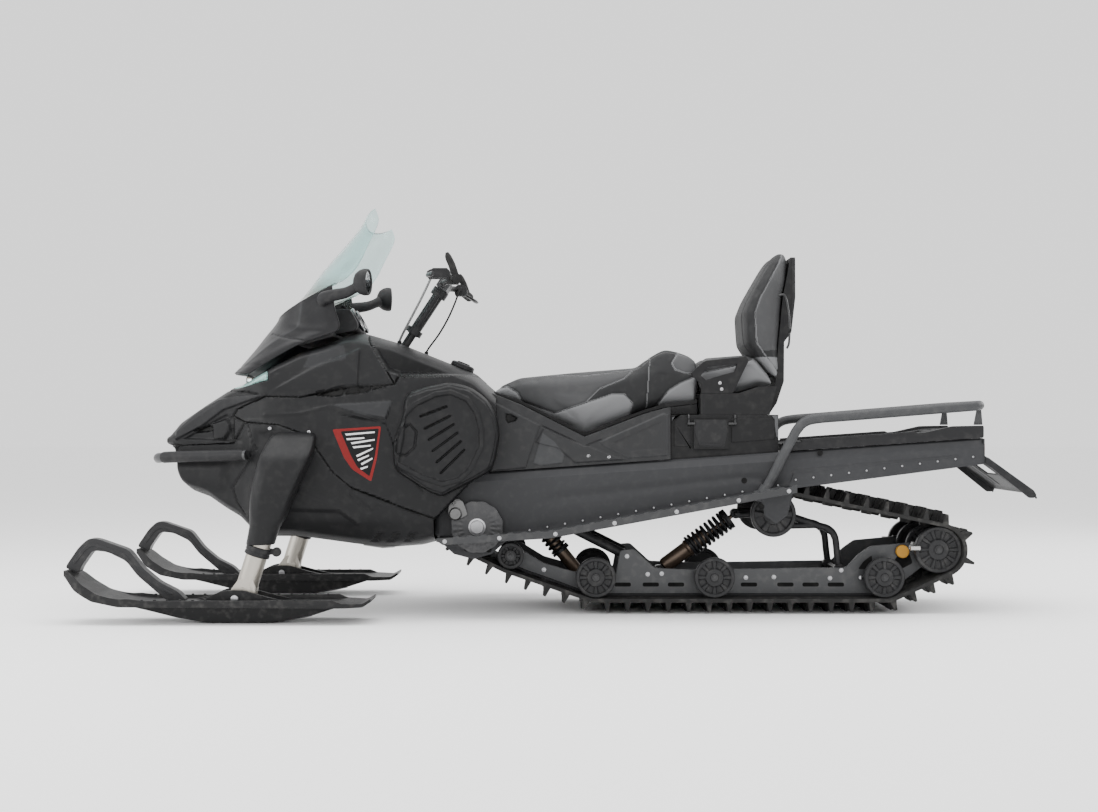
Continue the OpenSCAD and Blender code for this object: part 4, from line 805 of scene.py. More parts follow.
body_floor = ((209, 235), (440, 245), (494, 230), (632, 219), (707, 230), (928, 262), (1060, 262), (1128, 323),
              (1188, 356), (1255, 399), (1322, 423), (1345, 447), (1360, 500), (1376, 560), (1410, 592))
body_plan = ((1410, 118), (1372, 176), (1250, 214), (1130, 262), (1050, 322), (940, 365), (440, 365), (209, 335))
body_front = ((215, 235), (262, 300), (340, 345), (470, 365), (700, 365), (800, 330), (860, 304), (940, 266),
              (975, 238), (1010, 190))


def soft_along(x, table, width):
    """Reads a table as `along` does, but averaged over nine places within `width`, so that corners round off."""
    return sum(along(x + o, table) for o in np.linspace(-width, width, 9)) / 9


def body_half_width(x, z):
    """Half the body's width before its roof and floor are rounded: the smaller of the plan's and the front's
    half widths, blended over 14 mm, then drawn in above the shoulder behind the hood to carry the console."""
    plan, front = soft_along(x, body_plan, 24), soft_along(z, body_front, 20)
    wide = -14 * np.log(np.exp(-plan / 14) + np.exp(-front / 14))
    shoulder = along(x, [(209, 764), (243, 790), (296, 834), (562, 836), (600, 850), (690, 985)])
    narrow = along(x, [(209, 98), (250, 104), (400, 150), (560, 205), (690, 236), (720, 400)])
    draw_in = np.clip((z - shoulder) / 14, 0, 1) * (x < 720)
    return wide + (np.minimum(wide, narrow) - wide) * draw_in ** 2 * (3 - 2 * draw_in)


floor_steps, side_steps, roof_steps = 34, 122, 44
level_count = floor_steps + side_steps + roof_steps + 1


def body_spot(x, level):
    """Height and half width at station x and level 0..200. The first levels are a quarter ellipse from the keel
    out to the side, the middle ones climb the side evenly, and the last are a quarter ellipse in to the ridge."""
    roof, low = soft_along(x, body_roof, 12), soft_along(x, body_floor, 10)
    round_by = np.minimum(46, 0.42 * (roof - low))
    a = np.clip(level / floor_steps, 0, 1) * np.pi / 2
    b = np.clip((level - floor_steps - side_steps) / roof_steps, 0, 1) * np.pi / 2
    s = np.clip((level - floor_steps) / side_steps, 0, 1)
    z = low + round_by * (1 - np.cos(a)) + (roof - low - 2 * round_by) * s + round_by * np.sin(b)
    return z, body_half_width(x, z) * np.sin(a) * np.cos(b)


pan_seam = [(1416, 589), (1146, 600), (1101, 674), (972, 664), (875, 629), (783, 499), (720, 447), (487, 357),
            (432, 338)]
brow_seam = [(1101, 674), (1148, 694), (1132, 719), (1016, 764)]
hood_front_seam = [(1016, 764), (1086, 778), (1240, 792)]
hood_side_seam = [(1016, 764), (897, 761), (759, 792), (576, 806)]
console_seam = [(576, 806), (562, 834), (296, 838), (243, 792), (209, 770)]
hood_rear_seam = [(576, 806), (690, 988), (690, 1100)]
lamp_outline = [(1240, 794), (1136, 794), (1100, 800), (1013, 822), (1022, 850), (1060, 853), (985, 890), (980, 940)]
side_rear_edge = [(222, 764), (222, 700), (222, 560), (432, 338)]
seams = [pan_seam, [(1146, 600), (1148, 694)], brow_seam, hood_front_seam, hood_side_seam, console_seam,
         hood_rear_seam, lamp_outline, side_rear_edge]


def seam_distance(x, z, lines):
    """Distance from each (x, z) to the nearest of the lines: to a stretch it is the length of what is left of
    the offset after its part along the stretch, held to the ends, is taken off."""
    best = np.full(np.shape(x), 1e9)
    for line in lines:
        p = np.asarray(line, float)
        for a, b in zip(p[:-1], p[1:]):
            d = b - a
            t = np.clip(((x - a[0]) * d[0] + (z - a[1]) * d[1]) / (d @ d), 0, 1)
            best = np.minimum(best, np.hypot(x - a[0] - t * d[0], z - a[1] - t * d[1]))
    return best


def inside_of(x, z, outline):
    """Whether each (x, z) lies in the outline: a level ray from it crosses the edges an odd number of times."""
    p = np.asarray(outline, float)
    q = np.roll(p, -1, 0)
    within = np.zeros(np.shape(x), bool)
    for (ax, az), (bx, bz) in zip(p, q):
        if az != bz:
            within ^= ((az > z) != (bz > z)) & (x < ax + (z - az) * (bx - ax) / (bz - az))
    return within


def depth_in(x, z, outline):
    """How far inside an outline each (x, z) is, negative outside."""
    line = list(outline) + [outline[0]]
    return seam_distance(x, z, [line]) * np.where(inside_of(x, z, outline), 1, -1)


def ramp(value, low, high):
    """0 up to low, 1 from high, and a smooth s between."""
    t = np.clip((value - low) / (high - low), 0, 1)
    return t * t * (3 - 2 * t)


def snapped_net():
    """The net's stations and levels, with each point near a seam slid on to it: three Newton steps on half the
    squared distance, taken in station and level, and kept where the slide is under 0.62 of a cell."""
    station = np.linspace(body_rear_x, body_nose_x, 214)
    u, v = np.meshgrid(station, np.arange(level_count, dtype=float), indexing="ij")
    cell = station[1] - station[0]

    def half_square(a, b):
        z, _ = body_spot(a, b)
        return 0.5 * seam_distance(a, z, seams) ** 2

    du, dv = np.zeros_like(u), np.zeros_like(v)
    for _ in range(3):
        a, b = np.clip(u + du, body_rear_x, body_nose_x), np.clip(v + dv, 0, level_count - 1)
        here = half_square(a, b)
        gu = (half_square(a + .05, b) - half_square(a - .05, b)) / .1 * cell
        gv = (half_square(a, b + .01) - half_square(a, b - .01)) / .02
        size = gu ** 2 + gv ** 2
        stretch = 2 * here / np.maximum(size, 1e-9)
        du -= np.where(here > 1e-4, gu * stretch, 0) * cell
        dv -= np.where(here > 1e-4, gv * stretch, 0)
    near = (np.hypot(du / cell, dv) < 0.62) & (v > 1) & (v < level_count - 2)
    du, dv = np.where(near, du, 0), np.where(near, dv, 0)
    a = np.clip(u + du, body_rear_x, body_nose_x)
    z, y = body_spot(a, v + dv)
    return a, y, z


shell_x, shell_y, shell_z = snapped_net()
vent = [(897, 767), (787, 759), (667, 776), (569, 806), (759, 797)]
facet = [(800, 734), (578, 750), (601, 683), (690, 700)]
flank = [(1103, 683), (972, 672), (875, 637), (783, 506), (720, 454), (487, 363)]
recess = [(722, 450), (586, 399), (657, 356), (728, 421)]
slot_row = [[(637 - k, 291), (608 - k, 291), (637 - k, 256), (665 - k, 256)] for k in (0, 57, 114)]
brow_strip = [(1372, 606), (1366, 640), (1285, 712), (1204, 752), (1140, 766), (1022, 775), (1016, 765), (1120, 735),
              (1180, 716), (1262, 660)]
brow_hole = [(1296, 646), (1240, 664), (1228, 655), (1236, 640), (1290, 636)]
cheek_block = [(1232, 672), (1170, 690), (1152, 668), (1156, 640), (1176, 612), (1226, 606), (1228, 640)]
smoke_patch = [(872, 925), (812, 946), (756, 945), (742, 888), (862, 862), (900, 860)]
screw_spots = [(985, 848), (1120, 610), (1010, 640), (540, 820), (690, 560), (430, 470)]


def body_relief(x, z):
    """What the moulds add to the outer form, in millimetres along its normal: seams cut 5 deep, flat facets that
    lean out downwards, sunk vents and recesses, and creases that rise or fall over a few centimetres."""
    up = -5.0 * (seam_distance(x, z, seams) < 0.6)
    up += 9 * ramp(depth_in(x, z, facet), -2, 6) * np.clip((765 - z) / 70, 0, 1)
    up -= 11 * ramp(depth_in(x, z, vent), 1, 7)
    bars = sum(np.exp(-((x + 0.55 * (z - 780) - at) / 5) ** 2) for at in (845, 745, 660))
    up += 9 * bars * ramp(depth_in(x, z, vent), 1, 7)
    up += 7 * ramp(along(x, flank) - z, -8, 14) * ramp(z, 300, 420) * ramp(1120 - x, 0, 60) * ramp(x, 470, 560)
    up -= 9 * ramp(depth_in(x, z, [(1062, 655), (978, 646), (905, 560), (905, 440), (1000, 410), (1080, 560)]), 0, 26)
    up += 8 * ramp(depth_in(x, z, [(900, 438), (1010, 400), (1010, 380), (760, 372), (700, 330), (760, 380)]), -14, 6)
    edge = depth_in(x, z, recess)
    up -= 4.5 * ramp(edge, 0, 4) - 2.5 * ramp(edge, 12, 18)
    for one in slot_row:
        up -= 7 * ramp(depth_in(x, z, one), -1, 4)
    up += 7 * ramp(depth_in(x, z, brow_strip), -1, 6)
    up -= 12 * ramp(depth_in(x, z, brow_hole), -1, 4)
    up -= 6 * ramp(depth_in(x, z, [(1345, 612), (1250, 668), (1170, 706), (1150, 690), (1146, 604)]), 0, 9)
    up += 11 * ramp(depth_in(x, z, cheek_block), 0, 10)
    below = along(x, [(1010, 770), (870, 852), (700, 925)]) - z
    up += 7 * ramp(below, -12, 2) * ramp(z, 770, 800) * (x < 1010) * (x > 700)
    up -= 5 * ramp(seam_distance(x, z, [[(1085, 665), (1056, 579), (1149, 445), (1131, 393), (1096, 352)]]), 5, 0)
    up += 10 * ramp(x, 1150, 1200) * ramp(560 - z, 0, 60) * ramp(z, 420, 480)
    up -= 4 * ramp(seam_distance(x, z, [[(760, 700), (600, 668), (560, 560), (470, 430)]]), 5, 0)
    up += 4 * ramp(seam_distance(x, z, [[(1020, 700), (900, 704), (800, 728), (620, 672)]]), 9, 0)
    spots = sum(np.exp(-((x - a) ** 2 + (z - b) ** 2) / 40) for a, b in screw_spots)
    return up - 3 * spots


def body_shade_and_highlight(x, z):
    """1 where painted shade darkens a recess (the vent between its bars, the brow hole, and the belly slots by 0.45)
    and on the seams' dark joints; below 0 where a painted highlight lightens a facet and the brow strip, and over the
    smoked intake panel, whose own grey is paler.
    """
    dark = ramp(depth_in(x, z, vent), 2, 6) * (1 - 0.9 * sum(
        np.exp(-((x + 0.55 * (z - 780) - at) / 5) ** 2) for at in (845, 745, 660)))
    dark = np.maximum(dark, ramp(depth_in(x, z, brow_hole), 0, 4))
    for one in slot_row:
        dark = np.maximum(dark, 0.45 * ramp(depth_in(x, z, one), 0, 4))
    dark = np.maximum(dark, 0.75 * (seam_distance(x, z, seams) < 0.6))
    pale = ramp(depth_in(x, z, facet), -1, 3) + 0.6 * ramp(depth_in(x, z, brow_strip), 0, 5) \
        + 0.9 * ramp(depth_in(x, z, smoke_patch), 0, 4)
    return dark - 0.8 * np.clip(pale, 0, 1)


def shell_side(side):
    """The left (+1) or right (-1) half of the shell as points, pushed out along their normals by the relief."""
    form = np.stack([shell_x, side * shell_y, shell_z], -1)
    normal = np.cross(np.gradient(form, axis=0), np.gradient(form, axis=1))
    normal /= np.maximum(np.linalg.norm(normal, axis=-1, keepdims=True), 1e-6)
    normal *= np.sign((normal * (form - [700, 0, 600])).sum(-1, keepdims=True))
    level = np.arange(level_count)[None]
    fade = ramp(level, 16, 32) * ramp(level_count - 1 - level, 2, 22)
    relief = body_relief(shell_x, shell_z) * fade
    groove = (seam_distance(shell_x, shell_z, seams) < 0.6) * (1 - fade) * -3.0
    return form + normal * (relief + groove)[..., None]


left_half, right_half = shell_side(1), shell_side(-1)
shell_points = np.concatenate([left_half, right_half[:, -2::-1]], 1)
# The shell's tone: painted shade in recesses, dark seam joints, painted highlights on facets and the smoked intake
# panel's paler grey.
shell_shade_and_highlight = body_shade_and_highlight(shell_x, shell_z)
shell_shade_and_highlight = np.concatenate([shell_shade_and_highlight, shell_shade_and_highlight[:, -2::-1]], 1)
shell_faces = grid_quads(*shell_points.shape[:2])
flat_x = np.concatenate([shell_x, shell_x[:, -2::-1]], 1).ravel()[shell_faces].mean(1)
flat_z = np.concatenate([shell_z, shell_z[:, -2::-1]], 1).ravel()[shell_faces].mean(1)
flat_y = shell_points[..., 1].ravel()[shell_faces].mean(1)
side_zone = brow_seam + hood_side_seam[1:] + console_seam[1:4] + [(222, 764)] + side_rear_edge[1:] + pan_seam[7:1:-1]
nose_zone = [(1430, 588), (1430, 900), (1240, 792), (1086, 778), (1016, 764), (1132, 719), (1148, 694), (1101, 674),
             (1146, 600)]
lamp_zone = [(1260, 794)] + lamp_outline + [(1260, 940)]
in_lamp = inside_of(flat_x, flat_z, lamp_zone)
in_nose = inside_of(flat_x, flat_z, nose_zone) & ~in_lamp
in_pan = inside_of(flat_x, flat_z, [(1430, 588), (1146, 600)] + pan_seam[2:] + [(440, 338), (440, 100), (1430, 100)]) \
    & ~in_nose
in_side = inside_of(flat_x, flat_z, side_zone) & ~in_pan & ~in_nose
behind_hood = flat_x < along(flat_z, [(806, 576), (988, 690), (1100, 690)])
in_console = behind_hood & ~in_side & ~in_pan & (flat_z > along(flat_x, [(209, 772), (243, 792), (296, 838),
                                                                         (562, 834), (576, 806)]) - 1)
in_hood = ~(in_lamp | in_nose | in_pan | in_side | in_console) & ~behind_hood & (flat_z > 700)


def panel(name, chosen, node, slot="body_plastic", look=None, wall=4.5):
    """One panel: the shell's faces that were chosen for it, with only the points they use."""
    faces = shell_faces[chosen]
    used, numbers = np.unique(faces, return_inverse=True)
    return make(name, shell_points.reshape(-1, 3)[used], numbers.reshape(-1, 4), "chassis", slot, look or body_satin,
                [node], inside=(700, 0, 600), wall=wall, tones=shell_shade_and_highlight.ravel()[used], crease=24)


panel("belly_pan_shell", in_pan, "belly_pan", wall=0)
panel("side_panel_left_shell", in_side & (flat_y > 0), "side_panel_left")
panel("side_panel_right_shell", in_side & (flat_y < 0), "side_panel_right")
panel("nose_cover_shell", in_nose, "nose_cover", wall=0)
panel("hood_shell", in_hood, "hood", wall=0)
panel("console_shell", in_console, "console")
lamp_clear = bpy.data.materials.new("headlamp_clear")
lamp_clear.use_nodes = True
clear = lamp_clear.node_tree.nodes["Principled BSDF"]
clear.inputs["Base Color"].default_value = (0.42, 0.66, 0.62, 1)
clear.inputs["Roughness"].default_value = 0.05
clear.inputs["Transmission Weight"].default_value = 0.55
clear.inputs["IOR"].default_value = 1.49
panel("headlamp_cover", in_lamp, "headlights", "lens", lamp_clear, wall=3)

# ---- Clutch cover and badge ----
# A round moulded cover clips over the drive clutch on the left side: a stepped rim, an inner rib and six slanted
# cooling slats. Ahead of it a red and black decal, without lettering, is stuck to both side panels.
cover_line = [(536, 772), (464, 796), (383, 812), (312, 796), (254, 753), (221, 700), (209, 629), (221, 562),
              (236, 509), (312, 466), (378, 433), (407, 416), (455, 433), (574, 509), (579, 600), (546, 686)]
cover_rib = [(563, 534), (545, 620), (539, 695), (500, 735), (429, 769), (377, 776), (320, 752), (287, 705),
             (272, 643), (272, 591), (311, 510), (349, 477), (405, 462), (480, 488)]
cover_slats = [[(465 - k * 0.68, 652 - k * 1.9), (379 - k * 0.6, 695 - k * 1.45)] for k in (-22, 0, 20, 40, 60, 80)]
cover_notch = [(560, 640), (518, 668), (494, 640), (500, 590), (530, 560), (562, 566)]


def cover_net():
    """Polar net over the cover's outline: at share f of the way out the face stands at 396, its rim falls away
    to the panel by a quarter ellipse over the last tenth, a rib 5 high runs round and the slats are cut 6 deep."""
    line = rounded(cover_line, 30, 8)
    step = np.concatenate([[0], np.cumsum(np.linalg.norm(np.diff(np.vstack([line, line[:1]]), axis=0), axis=1))])
    even = np.linspace(0, step[-1], 260, endpoint=False)
    rim = np.stack([np.interp(even, step, np.append(line[:, k], line[0, k])) for k in (0, 1)], -1)
    f = np.concatenate([np.linspace(0.02, 0.9, 62), 0.9 + 0.1 * np.sin(np.linspace(0, np.pi / 2, 12))[1:]])[:, None]
    x = 390 + (rim[None, :, 0] - 390) * f
    z = 620 + (rim[None, :, 1] - 620) * f
    fall = np.sqrt(np.clip(1 - (np.clip(f - 0.9, 0, 1) / 0.1) ** 2, 0, 1))
    y = 350 + 46 * fall + 0 * x
    ring = seam_distance(x, z, [cover_rib + cover_rib[:1]])
    y += 5 * ramp(ring, 11, 5) - 5 * ramp(depth_in(x, z, cover_rib), 4, 14)
    y -= 3 * ramp(seam_distance(x, z, [[(c[0] * 0.93 + 27, c[1] * 0.93 + 43) for c in cover_line]]), 4, 1.5)
    y -= 7 * ramp(seam_distance(x, z, cover_slats), 4.6, 2)
    y -= 5 * ramp(abs(depth_in(x, z, cover_notch)), 5, 2)
    y += 4 * ramp(depth_in(x, z, [(330, 560), (260, 640), (300, 740), (400, 790), (360, 700)]), 0, 30) * (f < 0.9)
    # Painted shade: dark along the slat grooves, round the rim's fall at the outer edge and in the hollow just inside
    # the rib.
    dark = np.maximum(ramp(seam_distance(x, z, cover_slats), 4, 1.6), 0.55 * ramp(f + 0 * x, 0.962, 0.99))
    dark = np.maximum(dark, 0.45 * ramp(3 - abs(depth_in(x, z, cover_rib) - 7), 0, 3))
    spots = np.stack([x, y, z], -1)
    count = spots.shape[1]
    return np.concatenate([spots.reshape(-1, 3), [[390, 389, 620]]]), grid_quads(*x.shape, round_cols=True).tolist() \
        + [[j, (j + 1) % count, spots.shape[0] * count] for j in range(count)], np.append(dark.ravel(), 0)


cover_points, cover_faces, cover_painted_shade = cover_net()
make("clutch_cover", cover_points, cover_faces, "chassis", "body_plastic", body_satin, ["side_panel_left"],
     inside=(390, 200, 620), tones=cover_painted_shade, crease=30)
badge_line = [(786, 649), (618, 660), (632, 552), (652, 469), (718, 512), (746, 552)]
badge_red = finish("decal_red_film", (0.15, 0.009, 0.009), 0.42, grain=240, depth=0.01, spread=0.1, dust=0.05)
badge_black = finish("decal_black_film", (0.002, 0.002, 0.0024), 0.42, grain=240, depth=0.01, dust=0.05)
badge_white = finish("decal_white_film", (0.62, 0.62, 0.62), 0.35, grain=240, depth=0.01, dust=0.1)
make("badge_base", *both_sides(slab(rounded(badge_line, 8), 353, 356.6)), "chassis", "lamp_red", badge_red, soften=0.5)
field = rounded([(757, 642), (626, 652), (640, 556), (658, 488), (700, 520), (722, 560)], 5)
make("badge_field", *both_sides(slab(field, 353, 357.0)), "chassis", "black_plastic", badge_black)
slashes = [slab([(a, b), (c, d), (c, d - 5), (a - 4, b - 6)], 353, 357.3) for a, b, c, d in (
    (742, 634, 640, 642), (738, 618, 676, 622), (722, 604, 640, 616), (716, 590, 654, 596), (704, 560, 646, 586),
    (700, 546, 660, 562), (688, 532, 648, 552), (690, 516, 664, 524))]
make("badge_slashes", *both_sides(together(*slashes)), "chassis", "grip_rubber", badge_white)

# ---- Windshield, cowl and dashboard ----
# A tall tinted polycarbonate screen stands in a deep black cowl, screwed on from in front. Behind it the
# moulded dashboard carries a gauge pod, and a mirror on each cowl arm.
# Its tone zones: tone 0.3 to 0.7 is the near black of painted shade, tone -0.2 to -0.9 the paler grey of painted
# highlights.
cowl_black = finish("cowl_black_plastic", (0.0125, 0.0125, 0.0135), 0.34, grain=1200, depth=0.03, spread=0.1, dust=0.06,
                    zones=[(0.3, 0.7, (0.0035, 0.0035, 0.004)), (-0.2, -0.9, (0.032, 0.033, 0.035))])
cowl_rows = [(1184, 850, 1090, 844, 250), (1150, 890, 985, 908, 262), (1110, 940, 905, 950, 266),
             (1079, 982, 830, 976, 268), (1050, 1018, 775, 1002, 270), (1034, 1038, 790, 1075, 272),
             (1030, 1044, 800, 1152, 272)]
screen_rows = [(1046.8, 1022, 778, 1016.6, 270.4), cowl_rows[5], cowl_rows[6], (950, 1112, 765, 1166, 262),
               (863, 1222, 712, 1215, 266), (787, 1303, 668, 1300, 274), (742, 1350, 636, 1372, 279),
               (708, 1382, 647, 1418, 282)]


def wrapped(rows, pull, per, steps, relief=None):
    """Half ellipses in plan from edge to edge, one for each row (middle x, middle z, edge x, edge z, half
    width), with smooth rows between them and all drawn in by `pull`."""
    r = bend_through(rows, per)[:, :, None]
    t = np.linspace(-np.pi / 2, np.pi / 2, steps)[None]
    drawn = np.broadcast_to(np.asarray(pull, float).reshape(-1, 1), (len(r), 1)) + 0 * t
    if relief is not None:
        drawn = drawn - relief(np.linspace(0, 1, len(r))[:, None], t)
    x = r[:, 2] + (r[:, 0] - drawn - r[:, 2]) * np.cos(t)
    return np.stack([x, (r[:, 4] - drawn) * np.sin(t), r[:, 3] + (r[:, 1] - r[:, 3]) * np.cos(t)], -1)


def cowl_relief(s, t):
    """The cowl's facets: a raised crest that runs up each side, a hollow under it, a sunk band at the lower edge
    and a lip along the top."""
    across = abs(t) / (np.pi / 2)
    crest = np.exp(-((across - (0.50 + 0.18 * s)) / 0.05) ** 2)
    hollow = np.exp(-((across - (0.70 + 0.14 * s)) / 0.10) ** 2)
    return -2.0 + 2.0 * crest - 5.0 * hollow * ramp(s, 0.1, 0.4) - 2.5 * ramp(abs(s - 0.09), 0.02, 0.0) \
        - 3.0 * ramp(abs(s - 0.62 + 0.25 * across), 0.022, 0.004) * (across > 0.35)


cowl = wrapped(cowl_rows, 0, 10, 111, cowl_relief)
cowl_share = np.linspace(0, 1, len(cowl))[:, None]
cowl_across = np.linspace(-1, 1, 111)[None]
# Painted shade along the sunk band at the lower edge, and a painted highlight along each raised crest.
cowl_shade_and_highlight = ramp(abs(cowl_share - 0.09), 0.014, 0.0)
cowl_shade_and_highlight = cowl_shade_and_highlight - 0.6 * ramp(abs(abs(cowl_across) - 0.50 - 0.18 * cowl_share), 0.03, 0.0)
make("windshield_cowl_shell", cowl, grid_quads(*cowl.shape[:2]), "chassis", "black_plastic", cowl_black,
     ["windshield_cowl"], inside=(700, 0, 950), tones=cowl_shade_and_highlight, wall=8, crease=30)
screen_tint = bpy.data.materials.new("screen_tinted_sheet")
screen_tint.use_nodes = True
sheet_nodes, sheet_wire = screen_tint.node_tree.nodes, screen_tint.node_tree.links.new
tinted = sheet_nodes["Principled BSDF"]
tinted.inputs["Roughness"].default_value = 0.03
tinted.inputs["Transmission Weight"].default_value = 0.93
tinted.inputs["IOR"].default_value = 1.2
height_of = sheet_nodes.new("ShaderNodeSeparateXYZ")
sheet_place, tint_scale, tint_mix = (sheet_nodes.new(k) for k in (
    "ShaderNodeTexCoord", "ShaderNodeMapRange", "ShaderNodeMix"))
tint_mix.data_type = "RGBA"
tint_scale.inputs["From Min"].default_value, tint_scale.inputs["From Max"].default_value = 1.07, 1.19
tint_mix.inputs["A"].default_value, tint_mix.inputs["B"].default_value = (0.22, 0.17, 0.12, 1), (0.66, 0.82, 0.81, 1)
sheet_wire(sheet_place.outputs["Object"], height_of.inputs["Vector"])
sheet_wire(height_of.outputs["Z"], tint_scale.inputs["Value"])
sheet_wire(tint_scale.outputs["Result"], tint_mix.inputs["Factor"])
sheet_wire(tint_mix.outputs["Result"], tinted.inputs["Base Color"])
pull = np.interp(np.arange(57), [0, 16, 24, 56], [11.5, 11.5, 1, 0])
screen = wrapped(screen_rows, pull, 8, 75)
make("windshield_sheet", screen, grid_quads(*screen.shape[:2]), "chassis", "screen", screen_tint, ["windshield"],
     inside=(600, 0, 1100), wall=4)
dash = slab([(930, 944), (905, 945), (822, 969), (802, 975), (802, 1015), (870, 990), (925, 957)], -243, 243)
pod = slab(rounded([(830, 982), (771, 993), (732, 1000), (723, 1024), (753, 1079), (829, 1073), (888, 1000),
                    (888, 962)], 14, 5), -148, 148)
make("dashboard", *together(dash, pod), "chassis", "black_plastic", moulded, soften=3)
gauge_glass = finish("gauge_dark_glass", (0.004, 0.005, 0.007), 0.08, grain=60, depth=0.005, spread=0.3, dust=0.1,
                     coat=1)
gauge_ring = [turned([(0, 44), (-4, 46), (-9, 46), (-11, 43), (-7, 40), (-7, 0)], (738, y, 1046), 48, "x")
              for y in (-62, 62)]
gauges = together(*gauge_ring)
lean = np.radians(-28.6)
spot = gauges[0] - [738, 0, 1050]
gauges = np.stack([spot[:, 0] * np.cos(lean) - spot[:, 2] * np.sin(lean) + 741, spot[:, 1],
                   spot[:, 0] * np.sin(lean) + spot[:, 2] * np.cos(lean) + 1046], -1), gauges[1]
make("gauges", *gauges, "chassis", "black_plastic", gauge_glass, crease=40)
arm_path = bend_through([(834, 262, 1098), (826, 276, 1106), (790, 292, 1115), (748, 306, 1122), (718, 322, 1134),
                         (700, 336, 1144)], 6)


def tapered(path, radii, sides=20, squash=1.0, at=None):
    """A round bar along a path whose radius follows `radii`, read evenly along it or at the shares `at`."""
    path = np.asarray(path, float)
    at = np.linspace(0, 1, len(radii)) if at is None else at
    size = np.interp(np.linspace(0, 1, len(path)), at, radii)
    spots, faces = sweep(path, ring_shape(1, sides, squash))
    return path[:, None] + (spots - path[:, None]) * size[:, None, None], faces


mirror_arm = tapered(arm_path, [20, 19, 16, 14, 16], 14, 1.25, [0, 0.15, 0.5, 0.8, 1])
mirror_shell = turned([(38, 4), (36, 16), (28, 32), (14, 42), (0, 46), (-12, 46), (-17, 44), (-17, 39), (-13, 37),
                       (-13, 0)], (0, 0, 0), 40, "x")
mirror_glass = turned([(-13.5, 0), (-13.5, 37)], (0, 0, 0), 40, "x")


def hung(part):
    """A mirror's head set on its arm: narrowed to 0.78 of its height and turned 14 degrees outwards."""
    p = np.asarray(part[0], float).reshape(-1, 3) * [1, 0.78, 1]
    c, s = np.cos(0.25), np.sin(0.25)
    return np.stack([p[:, 0] * c + p[:, 1] * s + 676, p[:, 1] * c - p[:, 0] * s + 360, p[:, 2] + 1154], -1), part[1]


make("mirror_shells", *both_sides(together(mirror_arm, hung(mirror_shell))), "chassis", "black_plastic",
     moulded, ["mirrors"], crease=40)
make("mirror_glasses", *both_sides(hung(mirror_glass)), "chassis", "bright_tube",
     finish("mirror_silvered_glass", (0.72, 0.74, 0.76), 0.06, metal=1.0, grain=30, depth=0.004, spread=0.03, dust=0.1))

# ---- Bumper, fuel cap, lamps and engine ----
# The front bumper is a bent steel tube with plastic sleeves over its ends. The twist-off fuel cap has a
# finger rib across it. Two reflector bowls sit behind the headlamp cover, and cast blocks fill the engine bay.
bumper_half = [(1436, 120, 546), (1434, 152, 546), (1424, 182, 548), (1404, 205, 549), (1376, 220, 551),
               (1230, 275, 556), (1084, 331, 560)]
bumper_path = bend_through([(x, -y, z) for x, y, z in bumper_half[::-1]] + bumper_half, 5)
bumper_tube = sweep(bumper_path, ring_shape(17.5, 24))
sleeve_path = bend_through(bumper_half[3:], 6)
sleeve = tapered(sleeve_path, [17, 19.4, 20, 20, 20, 16], 24, at=np.array([0, 1, 2, 16, 17, 18]) / 18)
make("front_bumper_tube", *bumper_tube, "chassis", "coated_metal", rail_metal, ["front_bumper"])
make("front_bumper_sleeves", *both_sides(sleeve), "chassis", "black_plastic", moulded)
cap_turn = np.arange(72) * 2 * np.pi / 72
cap_wave = 1.4 * (np.cos(cap_turn * 12) > 0.2)
cap_rows = [(0, 41), (3, 43), (15, 42), (19, 38), (20, 28), (18, 26), (18, 2)]
cap_net = np.stack([np.stack([(r + (cap_wave if r > 40 else 0)) * np.cos(cap_turn), (r + (cap_wave if r > 40 else 0))
                              * np.sin(cap_turn), 0 * cap_turn + h], -1) for h, r in cap_rows])
cap_rib = slab(rounded([(-26, 17), (-22, 24), (22, 24), (26, 17)], 3), -6, 6)
cap_spots, cap_faces = together((cap_net, grid_quads(7, 72, round_cols=True).tolist() + [list(range(432, 504))]),
                                cap_rib)
c, s = np.cos(np.radians(21.7)), np.sin(np.radians(21.7))
cap_spots = np.stack([cap_spots[:, 0] * c - cap_spots[:, 2] * s + 362, cap_spots[:, 1],
                      cap_spots[:, 0] * s + cap_spots[:, 2] * c + float(along(362, body_roof)) - 2], -1)
make("fuel_cap_moulding", cap_spots, cap_faces, "chassis", "black_plastic", moulded, ["fuel_cap"], crease=30)
bowl = turned([(0, 44), (-3, 47), (-40, 26), (-52, 12), (-52, 0)], (1130, 78, 800), 40, "x")
small_bowl = turned([(0, 30), (-3, 33), (-30, 18), (-38, 8), (-38, 0)], (1095, 172, 802), 40, "x")
make("lamp_bowls", *both_sides(together(bowl, small_bowl)), "chassis", "bright_tube",
     finish("lamp_reflector_chrome", (0.62, 0.66, 0.66), 0.14, metal=1.0, grain=60, depth=0.01, dust=0.05))
make("lamp_tray", *slab([(1180, 742), (1010, 800), (960, 868), (950, 862), (1000, 780), (1170, 728)], -228, 228),
     "chassis", "black_plastic", dark_plug)
engine_cast = finish("engine_cast_alloy", (0.20, 0.20, 0.20), 0.5, metal=0.8, grain=200, depth=0.2, spread=0.3,
                     dust=0.4)
keep_shape(engine_cast, "engine_block")

# ---- Fork housings and legs ----
# Each telescopic leg slides in a moulded housing bolted to the belly pan. The leg is a bright warm-grey tube
# with a black collar, whose eyelet holds a strap, and a forged foot that straddles the ski's bolt.

leg_y, leg_lean = 450, np.radians(17.6)


def leg_at(z):
    """Where the leg's line crosses height z: it leans to the rear by leg_lean from its foot at (1063, 111)."""
    return 1063 - (np.asarray(z, float) - 111) * np.tan(leg_lean)


